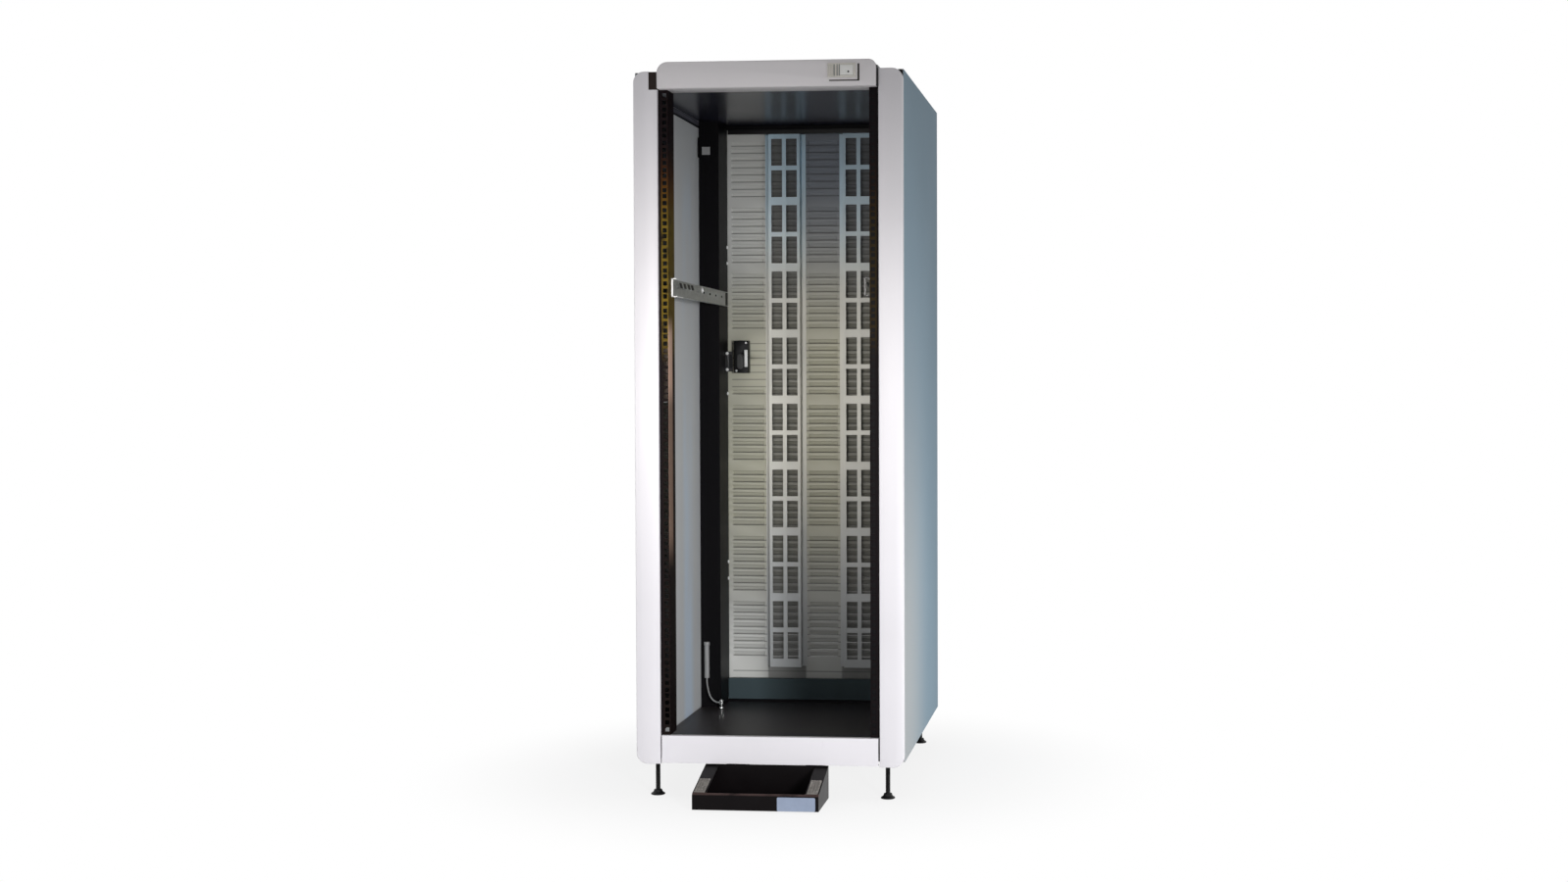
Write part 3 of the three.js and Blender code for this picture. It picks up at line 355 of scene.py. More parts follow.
def cover_paint(name, outside, inside):
    """Textured paint of the covers. Low at the front of the outside it turns paler, a painted
    sheen.
    The face turned to the inside is the paint made much lighter, standing in for the light on it,
    with a painted bluish sheen along a band."""
    finish = Finish(name)
    cover_low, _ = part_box("left_side_cover")
    depth, height = finish.axis("Y"), finish.axis("Z")
    outer = abs(finish.axis("X")) > -cover_low.x - 0.7 * MM
    out_tone = finish.mix(finish.clouds(2.2), shade(outside, 0.96), shade(outside, 1.04))
    # Painted sheen: the outside turns paler low at the front
    rubbed = finish.fade(depth, -0.3, 0.25) * finish.fade(height, 0.25, 1.3)
    out_tone = finish.mix(rubbed * 0.6, out_tone, shade(linear(196, 192, 186)))
    # Painted sheen: a pale bluish band on the inner face
    streak = finish.window(depth, 0.11, 0.16, 0.2, 0.26) * finish.fade(height, 1.3, 1.5)
    patchy = finish.band(finish.noise(3, 3, 0.6, finish.stretched(1, 1, 0.3)), 0.25, 0.6)
    # The inner face's pale paint stands in for the light falling on it: painted light
    in_tone = finish.mix(streak * patchy, shade(inside, 0.88), shade(linear(226, 240, 255)))
    return finish.set(
        Base_Color=finish.mix(outer, in_tone, out_tone), Specular_IOR_Level=0.03,
        Roughness=finish.noise(9) * 0.08 + 0.56, Normal=finish.grain(480, 0.08 * MM, 0.5))


def door_paint(name, colour):
    """Warm grey paint of the louvred door, with painted light and shade on its inner side: a yellow
    pool of light at its middle, lighter paint on the latch side at its top and foot, bluish shade
    at its head and shade behind the stiffeners. A painted shadow darkens the louvres' mouths on
    both sides; the rest of its outer side is even."""
    finish = Finish(name)
    measures = sizes()
    rise, mouth = measures.louvre_rise, measures.louvre_height
    x, height = finish.axis("X"), finish.axis("Z")
    in_group = (first_louvre() - height) % measures.group_pitch
    in_louvre = in_group % measures.louvre_pitch
    in_rows = in_group < LOUVRE_ROWS * measures.louvre_pitch
    hooded = (in_louvre < mouth) * in_rows * sum(
        (x > low) * (x < high) for low, high in LOUVRE_COLUMNS)
    stand_out = (in_louvre * ((1 - HOOD_BROW) / mouth) + HOOD_BROW) * hooded * rise
    _, door_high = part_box("rear_door")
    inside = finish.axis("Y") - stand_out < door_high.y - rise - measures.sheet / 2

    cloud = finish.clouds(5, 4, 0.6)
    # Painted light: a yellow pool at the middle of the inner side
    middle = finish.window(height, 0.25, 0.6, 1.0, 1.35)
    warm = tinted(colour, 1.03, 1, 0.8)
    tone = finish.mix(middle * inside * 0.9, shade(colour), shade(warm))
    tone = finish.mix(cloud * 0.3, tone, shade(colour, 0.82))
    # Painted light: the latch side lighter at its top and foot
    ends = finish.band(height, 1.1, 1.35) + finish.fade(height, 0.2, 0.4)
    latch_side = finish.fade(x, -0.17, -0.13)
    tone = finish.mix(latch_side * ends * inside, tone, shade(colour, 1.45))
    # Painted shade: bluish and darker at the head
    head = finish.band(height, 1.1, 1.5) * finish.band(x, -0.16, -0.05)
    tone = finish.mix(head * inside * 0.9, tone, shade(tinted(colour, 0.42, 0.47, 0.6)))
    across = abs(x)
    strip_low, strip_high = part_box("right_door_stiffener")
    # Painted shade behind the stiffeners
    behind = finish.window(across, strip_low.x, strip_low.x + 6 * MM,
                           strip_high.x - 6 * MM, strip_high.x)
    tone = finish.mix(behind * inside * 0.72, tone, shade(colour, 0.2))
    # Painted shadow in the louvres' mouths, on both sides
    line = finish.band(in_louvre, 0.7 * mouth, 0.95 * mouth) * (in_louvre < mouth * 1.06)
    grime = line * in_rows * finish.fade(across, 0.238, 0.242)
    return finish.set(
        Base_Color=finish.mix(grime * 0.6, tone, shade(colour, 0.2)), Specular_IOR_Level=0.3,
        Roughness=cloud * 0.1 + 0.42, Normal=finish.grain(700, 0.03 * MM, 0.4))


def stiffener_paint(name, colour):
    """The door's paint on its stiffeners, with painted light: lighter and yellower from mid-height
    up, and lighter and bluer towards their tops.
    """
    finish = Finish(name)
    height = finish.axis("Z")
    cloud = finish.clouds(6)
    # Painted light: both tints stand in for the light on the stiffeners
    middle, head = tinted(colour, 1.25, 1.2, 1.08), tinted(colour, 1.15, 1.5, 1.75)
    tone = finish.mix(finish.band(height, 0.35, 0.75), shade(colour, 0.95), shade(middle))
    tone = finish.mix(finish.band(height, 1.1, 1.5), tone, shade(head))
    return finish.set(
        Base_Color=finish.mix(cloud * 0.25, tone, shade(colour, 0.85)),
        Specular_IOR_Level=0.3, Roughness=cloud * 0.1 + 0.36,
        Normal=finish.grain(650, 0.05 * MM, 0.4))


def zinc_plate(name, colour, roughness, metallic=0.6):
    """Zinc plating: spangle, rolling lines and duller patches."""
    finish = Finish(name)
    flakes = finish.axis("X", finish.cells(140, "Color"))
    lines = finish.noise(60, 3, 0.6, finish.stretched(1, 0.04, 1))
    return finish.set(
        Base_Color=finish.mix(flakes * 0.5 + lines * 0.4, shade(colour, 0.72), shade(colour, 1.1)),
        Metallic=metallic, Roughness=lines * 0.22 + (roughness - 0.1),
        Normal=finish.bump(lines, 0.03 * MM, 0.35))


def rail_plating(name, black, gold):
    """Dark rail with a painted yellow sheen round its holes, most on the left rail at eye height
    and browner above, and paler pink on the left rail's inner edge at two lengths below it."""
    finish = Finish(name)
    x, depth, height = (finish.axis(letter) for letter in "XYZ")
    across, left = abs(x), x < 0
    low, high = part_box("left_rack_rail")
    holes = -(low.x + high.x) / 2 - 11 * MM
    round_holes = finish.fade(abs(across - holes), 6 * MM, 10 * MM)
    # Painted sheen: yellow round the holes, strongest at eye height on the left rail
    eye_height = finish.window(height, 0.96, 1.05, 1.28, 1.46)
    worn = finish.band(finish.noise(40, 4, 0.6), 0.2, 0.5)
    amount = round_holes * (eye_height * 0.85 + 0.02) * worn * (left * 0.85 + 0.15)
    brown = tinted(gold, 0.9, 0.45, 0.4)
    film_tone = finish.mix(finish.band(height, 1.26, 1.4), shade(gold), shade(brown))
    tone = finish.mix(amount, shade(tinted(black, 1.25, 0.9, 0.95)), film_tone)
    # Paler pink on the left rail's inner edge at two lengths
    inner_edge = finish.fade(depth, high.y - 28 * MM, high.y - 20 * MM) * (
        finish.fade(across, 0.2255, 0.2262))
    bared = (finish.band(height, 0.5, 0.6) * 0.4 + finish.band(height, 0.86, 0.93) * 0.6) * (
        finish.fade(height, 1.02, 1.08))
    tone = finish.mix(inner_edge * bared * left, tone, shade(linear(205, 170, 150)))
    return finish.set(
        Base_Color=tone, Metallic=amount * 0.2, Specular_IOR_Level=0.04,
        Roughness=finish.noise(200) * 0.15 + 0.45)


def moulded(name, colour, roughness, specular=0.5):
    """Moulded plastic with a fine spark-eroded grain."""
    finish = Finish(name)
    cloud = finish.noise(30, 3)
    return finish.set(
        Base_Color=finish.mix(cloud, shade(colour, 0.88), shade(colour, 1.12)),
        Specular_IOR_Level=specular, Roughness=cloud * 0.12 + (roughness - 0.06),
        Normal=finish.bump(finish.cells(1500), 0.03 * MM, 0.5))


def rubber(name, colour):
    """Dull rubber, paler in patches from use."""
    finish = Finish(name)
    rubbed = finish.band(finish.noise(70, 5, 0.7), 0.45, 0.7)
    return finish.set(
        Base_Color=finish.mix(rubbed, shade(colour, 0.75), shade(colour, 1.3)),
        Roughness=rubbed * -0.15 + 0.9, Normal=finish.grain(1200, 0.05 * MM, 0.6))


def machined(name, colour, roughness):
    """Turned or rolled steel with fine rings across its axis."""
    finish = Finish(name)
    rings = finish.noise(300, 2, 0.5, finish.stretched(0.1, 0.1, 3))
    return finish.set(
        Base_Color=finish.mix(rings, shade(colour, 0.8), shade(colour, 1.15)), Metallic=1.0,
        Roughness=rings * 0.15 + (roughness - 0.07))


def film(name, colour):
    """Glossy printed film with nothing on it, faintly uneven."""
    finish = Finish(name)
    waves = finish.noise(45)
    return finish.set(
        Base_Color=finish.mix(waves, shade(colour, 0.92), shade(colour, 1.08)),
        Roughness=waves * 0.1 + 0.15, Normal=finish.bump(waves, 0.1 * MM, 0.2))


def make_finishes():
    """Every finish of the cabinet by its plain name."""
    shades = bpy.context.scene.rack_colours

    def pick(name):
        return tuple(getattr(shades, name))

    cover, black, pan = pick("cover"), pick("frame_black"), pick("pan_black")
    return {
        "trim": powder_paint("trim_paint", pick("trim"), 0.42, 650, 0.05 * MM),
        "header": powder_paint("header_paint", pick("header"), 0.42, 650, 0.05 * MM),
        "cover": cover_paint("cover_paint", cover, pick("cover_inside")),
        "top": powder_paint("top_cover_paint", cover, 0.46, 480, 0.08 * MM),
        "frame": black_paint("frame_black", black, 0.42, 0.05),
        "pan": black_paint("pan_black", tinted(pan, 1.5, 1.25, 1.15), 0.42, 0.28),
        "roof": black_paint("roof_black", tinted(pan, 1.1, 1.15, 1.9), 0.24, 0.6),
        # The roof flange is the pan black made nine times lighter: painted light
        "flange": black_paint("flange_grey", tinted(pan, 9, 9, 9), 0.45, 0.1),
        "sill": black_paint("sill_black", tinted(pan, 3.4, 4.8, 4.4), 0.5, 0.1),
        "tray": tray_paint("stabiliser_black", pick("tray_black")),
        "door": door_paint("door_paint", pick("door")),
        "stiffener": stiffener_paint("stiffener_paint", pick("stiffener")),
        "zinc": zinc_plate("zinc_plating", pick("plating"), 0.34),
        "rail": rail_plating("rail_plating", black, pick("rail_gold")),
        "plastic": moulded("black_plastic", pick("plastic"), 0.38, 0.2),
        "switch": moulded("switch_plastic", pick("switch"), 0.36),
        # The button is the switch plastic made whiter, standing in for the light on it: painted
        # light
        "button": moulded("button_plastic", linear(250, 249, 242), 0.3),
        "backing": moulded("backing_brown", linear(205, 180, 168), 0.6, 0.1),
        "hinge": moulded("hinge_plastic", pick("hinge"), 0.5, 0.15),
        "tread": rubber("tread_rubber", pick("tread")),
        "plate": film("plate_film", pick("plate")),
        "sleeve": moulded("sleeve_plastic", pick("sleeve"), 0.45),
        "bright": machined("bright_steel", linear(222, 222, 220), 0.2),
        # Glint paint: near-white, standing in for the glints on small steel parts: painted
        # highlight
        "glint": zinc_plate("pale_zinc", linear(246, 246, 243), 0.5, 0.1),
        "thread": machined("dark_thread", linear(70, 70, 70), 0.35),
    }


FINISHES = {}


def finish_of(name):
    if not FINISHES:
        FINISHES.update(make_finishes())
    return FINISHES[name]


# Shapes


def cube(bm, corner, opposite):
    """A block between two opposite corners."""
    low, high = (Vector(tuple(map(end, corner, opposite))) for end in (min, max))
    place = Matrix.Translation((low + high) / 2) @ Matrix.Diagonal((*(high - low), 1))
    return bmesh.ops.create_cube(bm, size=1, matrix=place)["verts"]


def rod(bm, radius, start, end, sides):
    start, end = Vector(start), Vector(end)
    turn = (end - start).to_track_quat("Z", "Y").to_matrix().to_4x4()
    return bmesh.ops.create_cone(
        bm, cap_ends=True, segments=sides, radius1=radius, radius2=radius,
        depth=(end - start).length, matrix=Matrix.Translation((start + end) / 2) @ turn)["verts"]


def lathe(bm, profile, centre, axis, sides):
    """A profile of (radius, height) points spun round an axis through centre."""
    out = axis.orthogonal().normalized()
    verts = [bm.verts.new(Vector(centre) + out * r + axis * h) for r, h in profile]
    edges = [bm.edges.new(pair) for pair in zip(verts, verts[1:])]
    bmesh.ops.spin(bm, geom=verts + edges, cent=centre, axis=axis, dvec=(0, 0, 0),
                   angle=math.tau, steps=sides, use_merge=True)
    bmesh.ops.remove_doubles(bm, verts=bm.verts, dist=WELD)
    bmesh.ops.recalc_face_normals(bm, faces=bm.faces)


def once(parts):
    """The parts in their order without repeats. A set's order would differ from run to run."""
    return list(dict.fromkeys(parts))


def bevel(bm, edges, width, segments):
    bmesh.ops.bevel(bm, geom=edges, offset=width, offset_type="OFFSET", segments=segments,
                    profile=0.5, affect="EDGES", clamp_overlap=True, material=-1)


def soften(bm, width, segments=2, angle=28):
    """Rounds every edge that turns by more than the angle, and leaves wide flat faces flat."""
    turn = math.radians(angle)
    sharp = [e for e in bm.edges if len(e.link_faces) == 2 and e.calc_face_angle() > turn]
    if sharp:
        bevel(bm, sharp, width, segments)
    wide = {f for f in bm.faces if 2 * f.calc_area() > 1.5 * width * f.calc_perimeter()}
    for face in bm.faces:
        face.smooth = face not in wide or any(
            math.radians(1) < e.calc_face_angle() <= turn
            for e in face.edges if len(e.link_faces) == 2 and wide.issuperset(e.link_faces))


def score(bm, point, normal, faces=None):
    """Cuts edges along a plane into the given faces, or into the whole mesh."""
    if faces is None:
        parts = [*bm.verts, *bm.edges, *bm.faces]
    else:
        parts = once(part for f in faces for part in (*f.verts, *f.edges, f))
    bmesh.ops.bisect_plane(bm, geom=parts, dist=WELD, plane_co=point, plane_no=normal)


def copy_of(node):
    """A CAD node's shape as a merged mesh with its flat faces joined."""
    bm = bmesh.new()
    bm.from_mesh(frame["nodes"][node].data)
    bmesh.ops.remove_doubles(bm, verts=bm.verts, dist=WELD)
    bmesh.ops.dissolve_limit(bm, angle_limit=math.radians(0.5), verts=bm.verts, edges=bm.edges)
    return bm


def settle(bm, name, body, finish, stands_for=(), smooth=35):
    """The finished piece, with its place in its mesh, on its CAD body."""
    if not any(face.smooth for face in bm.faces):
        for face in bm.faces:
            face.smooth = True
    rounded = [face.smooth for face in bm.faces]
    mesh = bpy.data.meshes.new(name)
    bm.to_mesh(mesh)
    bm.free()
    mesh.materials.append(finish_of(finish))
    mesh.set_sharp_from_angle(angle=math.radians(smooth))
    mesh.polygons.foreach_set("use_smooth", rounded)
    piece = bpy.data.objects.new(name, mesh)
    bpy.context.scene.collection.objects.link(piece)
    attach(piece, body)
    if stands_for:
        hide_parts(*stands_for)
    return piece


def stand_in(bm, name, node, finish, smooth=35):
    """The finished piece that takes a CAD node's place and body."""
    return settle(bm, name, frame["nodes"][node]["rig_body"], finish, [node], smooth)


def dress(node, finish):
    """Gives a CAD node whose shape is right its finish."""
    data = frame["nodes"][node].data
    data.materials.clear()
    data.materials.append(finish_of(finish))


def formed(node, finish, width, segments=2, angle=28):
    """A CAD node with its folds and edges rounded."""
    bm = copy_of(node)
    soften(bm, width, segments, angle)
    stand_in(bm, node + "_formed", node, finish)


def blocks(name, body, finish, corners, width, segments=2):
    """A piece of rounded blocks, each between two opposite corners."""
    bm = bmesh.new()
    for corner, opposite in corners:
        cube(bm, corner, opposite)
    if width:
        soften(bm, width, segments)
    settle(bm, name, body, finish)


def screws(name, body, radius, axis, centres):
    """Domed screw heads with sockets, in the near-white glint paint that stands in for their
    highlights.
    """
    bm = bmesh.new()
    profile = [(share * radius, rise * radius) for share, rise in (
        (0, 0.22), (0.42, 0.22), (0.46, 0.6), (0.7, 0.52), (0.93, 0.28), (1, 0), (0, 0))]
    for centre in centres:
        lathe(bm, profile, centre, axis, 12)
    settle(bm, name, body, "glint")


def hexagon(bm, radius, start, end):
    verts = rod(bm, radius, start, end, 6)
    bevel(bm, once(e for v in verts for e in v.link_edges), 0.08 * radius, 1)


def inner_face(side, node):
    """Where the inner face of a side's CAD node stands along X."""
    low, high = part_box(f"{side}_{node}")
    return high.x if side == "left" else low.x


def first_louvre():
    """Height of the top edge of the door's first row of louvres."""
    measures = sizes()
    _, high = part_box("rear_door")
    lead = (measures.group_pitch - (LOUVRE_ROWS - 1) * measures.louvre_pitch) / 2
    return high.z - measures.group_margin - lead + measures.louvre_height / 2


# Operators, one for each group of like pieces


class RackOperator(bpy.types.Operator):
    """Common ground of the cabinet's operators"""

    bl_options = {"REGISTER", "UNDO"}

    def execute(self, context):
        self.make()
        return {"FINISHED"}


class RACK_OT_stage(RackOperator):
    """Sets up the camera, the lamps, the pale floor and the white surroundings"""

    bl_idname = "rack.stage"
    bl_label = "Stage"

    camera_place = (0.8027, -4.76198, 0.9428)
    camera_turn = (88.4936, 0.0902, 5.4323)
    camera_shift = (-0.1, -0.00875)
    # Place, aim, colour and how wide the light is at the aim
    spots = {
        "key": ((2.0, -4.4, 0.9), (-0.5, -0.3, 0.35), (0.975, 0.985, 1.0), 1.65),
        "pool": ((-0.5, -5.2, 1.2), (0.02, 0.43, 0.92), (1.0, 0.965, 0.92), 0.6),
    }
    # Place, aim and side of the square
    lamps = {
        "low": ((0.1, -2.1, 0.3), (0, -0.35, 0.35), 0.7),
        "side": ((1.35, -0.15, 0.3), (0.3, -0.25, 0.3), 0.3),
    }
    spot_softness = 0.35
    floor_half_side = 12

    def make(self):
        scene = bpy.context.scene
        scene.view_settings.view_transform = "Standard"
        self.camera(scene)
        self.surroundings(scene)
        self.floor(scene)
        for name, (place, aim, colour, reach) in self.spots.items():
            spread = 2 * math.atan(reach / (Vector(aim) - Vector(place)).length)
            self.light(scene, name, "SPOT", place, aim, color=colour, spot_size=spread,
                       spot_blend=1.0, shadow_soft_size=self.spot_softness)
        for name, (place, aim, side) in self.lamps.items():
            self.light(scene, name, "AREA", place, aim, shape="SQUARE", size=side)

    def camera(self, scene):
        data = bpy.data.cameras.new("photo_camera")
        data.sensor_width = 36
        data.lens = scene.rack_stage.focal
        data.shift_x, data.shift_y = self.camera_shift
        camera = bpy.data.objects.new("photo_camera", data)
        camera.location = self.camera_place
        camera.rotation_euler = tuple(math.radians(turn) for turn in self.camera_turn)
        scene.collection.objects.link(camera)
        scene.camera = camera

    def surroundings(self, scene):
        """Even light on the cabinet, and plain white where the surroundings show."""
        scene.world = bpy.data.worlds.new("pale_room")
        scene.world.use_nodes = True
        nodes = Nodes(scene.world.node_tree)
        even = nodes.tree.nodes["Background"]
        even.inputs["Color"].default_value = WHITE
        even.inputs["Strength"].default_value = scene.rack_stage.sky
        white = nodes.node("ShaderNodeBackground", {}, {"Color": WHITE, "Strength": 1.0})
        mixed = nodes.node("ShaderNodeMixShader", {}, {
            0: nodes.seen(), 1: Wire(nodes, even.outputs[0]), 2: white})
        nodes.feed(nodes.tree.nodes["World Output"].inputs["Surface"], mixed)

    def floor(self, scene):
        """A pale floor that keeps the shadow near the cabinet and fades to white around it."""
        bm = bmesh.new()
        bmesh.ops.create_grid(bm, x_segments=1, y_segments=1, size=self.floor_half_side)
        mesh = bpy.data.meshes.new("floor")
        bm.to_mesh(mesh)
        bm.free()
        finish = Finish("floor_white")
        away = finish.node("ShaderNodeVectorMath", {"operation": "LENGTH"},
                           {0: finish.place()}, "Value")
        white_share = finish.band(away, 0.35, 0.95) * 0.16 + 0.84
        finish.set(Base_Color=(0.95, 0.95, 0.95, 1), Roughness=0.9, Specular_IOR_Level=0.2)
        glow = finish.node("ShaderNodeEmission", {}, {"Color": WHITE, "Strength": 1.0})
        mixed = finish.node("ShaderNodeMixShader", {}, {
            0: finish.seen() * white_share, 1: Wire(finish, finish.shader.outputs[0]), 2: glow})
        finish.feed(finish.tree.nodes["Material Output"].inputs["Surface"], mixed)
        mesh.materials.append(finish.material)
        floor = bpy.data.objects.new("floor", mesh)
        scene.collection.objects.link(floor)

    def light(self, scene, name, kind, place, aim, **settings):
        """A lamp with the power that the sidebar gives it, unseen by the camera."""
        data = bpy.data.lights.new(name + ("_spot" if kind == "SPOT" else "_lamp"), kind)
        data.energy = getattr(scene.rack_stage, name)
        for setting, value in settings.items():
            setattr(data, setting, value)
        lamp = bpy.data.objects.new(data.name, data)
        lamp.visible_camera = False
        lamp.location = place
        lamp.rotation_euler = (Vector(aim) - Vector(place)).to_track_quat("-Z", "Y").to_euler()
        scene.collection.objects.link(lamp)


class RACK_OT_earth(RackOperator):
    """Builds the earth lead, its sleeve and its stud with lug and nuts"""

    bl_idname = "rack.earth"
    bl_label = "Earth connection"

    diameter = 4 * MM
    # Inwards, forwards and up from the rear left post's front corner on the floor sheet
    route = [
        (20, 7.8, 84), (19.9, 7.8, 67), (21, 10, 58), (23.8, 15, 49), (27.4, 20, 39.5),
        (32, 24.5, 30.5), (38, 28, 23), (45, 30.5, 18.6), (51.5, 32.2, 16.9), (56.2, 33, 16.5),
    ]

    def make(self):
        self.lead()
        formed("earth_sleeve", "sleeve", 0.6 * MM)
        self.stud()

    def corner(self):
        cover_low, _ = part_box("left_side_cover")
        _, sleeve_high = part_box("earth_sleeve")
        _, floor_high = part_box("base_pan")
        return Vector((cover_low.x, sleeve_high.y + 0.3 * MM, floor_high.z))

    def lead(self):
        corner = self.corner()
        points = self.smooth([corner + Vector((inwards, -forwards, up)) * MM
                              for inwards, forwards, up in self.route], 4)
        data = bpy.data.curves.new("earth_lead_wire", "CURVE")
        data.dimensions = "3D"
        data.bevel_depth = self.diameter / 2
        data.bevel_resolution = 4
        data.use_fill_caps = True
        spline = data.splines.new("POLY")
        spline.points.add(len(points) - 1)
        for point, place in zip(spline.points, points):
            point.co = (*place, 1)
        data.materials.append(finish_of("sleeve"))
        wire = bpy.data.objects.new("earth_lead_wire", data)
        bpy.context.scene.collection.objects.link(wire)
        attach(wire, "cabinet")
        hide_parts("earth_lead")
        run = sum((b - a).length for a, b in zip(points, points[1:]))

    def smooth(self, knots, steps):
        """Points on a smooth curve through the knots."""
        ends = [knots[0] * 2 - knots[1], *knots, knots[-1] * 2 - knots[-2]]
        points = []
        for a, b, c, d in zip(ends, ends[1:], ends[2:], ends[3:]):
            for step in range(steps):
                t = step / steps
                points.append((b * 2 + (c - a) * t + (a * 2 - b * 5 + c * 4 - d) * t ** 2
                               + (b * 3 - a - c * 3 + d) * t ** 3) / 2)
        return [*points, knots[-1]]

    def stud(self):
        """Threaded stud with a nut at its foot and its head, a washer and the lead's lug."""
        low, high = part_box("earth_stud")
        centre = (low + high) / 2
        radius = (high.y - low.y) / 2

        def at(up):
            return Vector((centre.x, centre.y, low.z + up * MM))

        bm = bmesh.new()
        rod(bm, 3 * MM, at(0), at(24), 20)
        hexagon(bm, radius, at(0), at(5))
        rod(bm, radius, at(12.6), at(13.6), 24)
        hexagon(bm, 0.94 * radius, at(18.6), at(23))
        stand_in(bm, "earth_stud_nuts", "earth_stud", "bright")
        lug = bmesh.new()
        rod(lug, 0.95 * radius, at(14.2), at(15.4), 24)
        barrel = at(16) - 13 * MM * RIGHT
        rod(lug, 2.9 * MM, barrel, barrel + Vector((8 * MM, 0, -0.4 * MM)), 16)
        settle(lug, "earth_lug", "cabinet", "bright")


class RACK_OT_frame(RackOperator):
    """Builds the posts, pans, sills and lintel with rounded folds"""

    bl_idname = "rack.frame"
    bl_label = "Frame"

    finishes = {
        "base_pan": "pan", "roof_pan": "roof", "front_sill": "frame", "rear_sill": "sill",
        "rear_lintel": "frame", "left_front_post": "frame", "right_front_post": "frame",
        "left_rear_post": "frame", "right_rear_post": "frame",
    }
    screw_heights = (1.271, 1.230, 0.893, 0.456, 0.413)
    hook_ends = (0.2855, 0.2645)
    hook_foot, hook_top = 1.498, 1.518
    seal_foot = 1.5622

    def make(self):
        for node, finish in self.finishes.items():
            formed(node, finish, sizes().fold)
        for side, inwards in INWARDS.items():
            self.post_fittings(side, inwards)
        self.lintel_seal()
        self.floor_bead()

    def post_fittings(self, side, inwards):
        """Screws along the rear edge of the post's inner face, and the foot of the cover's hook."""
        low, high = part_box(side + "_rear_post")
        inner = inner_face(side, "rear_post")
        # The screws are painted highlights in the glint paint
        screws(side + "_post_screws", "cabinet", 4.5 * MM, inwards * RIGHT,
               [(inner, high.y - 9 * MM, height) for height in self.screw_heights])
        outer, inner = (-inwards * end for end in self.hook_ends)
        blocks(side + "_hook_tab", "cabinet", "sleeve", [
            ((outer, low.y - 1.8 * MM, self.hook_foot), (inner, low.y - 0.2 * MM, self.hook_top)),
        ], 0.4 * MM)

    def lintel_seal(self):
        """Rubber strip under the lintel, in front of the door's head."""
        low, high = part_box("rear_lintel")
        stiffener_low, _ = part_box("left_door_stiffener")
        blocks("lintel_seal", "cabinet", "plastic", [
            ((low.x + 4 * MM, low.y + 1 * MM, self.seal_foot),
             (high.x - 4 * MM, stiffener_low.y - 1.2 * MM, low.z - 0.2 * MM)),
        ], 1.2 * MM, 3)

    def floor_bead(self):
        """Bead of sealant where the floor meets the rear sill."""
        low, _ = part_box("rear_sill")
        _, floor_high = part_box("base_pan")
        _, post_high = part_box("left_rear_post")
        end = post_high.x + 1 * MM
        bm = bmesh.new()
        for v in cube(bm, (end, low.y - 6 * MM, floor_high.z + 0.1 * MM),
                      (-end, low.y - 0.1 * MM, floor_high.z + 6 * MM)):
            if v.co.y < low.y - 3 * MM and v.co.z > floor_high.z + 3 * MM:
                v.co += 4 * MM * BACK
        settle(bm, "floor_bead", "cabinet", "frame")


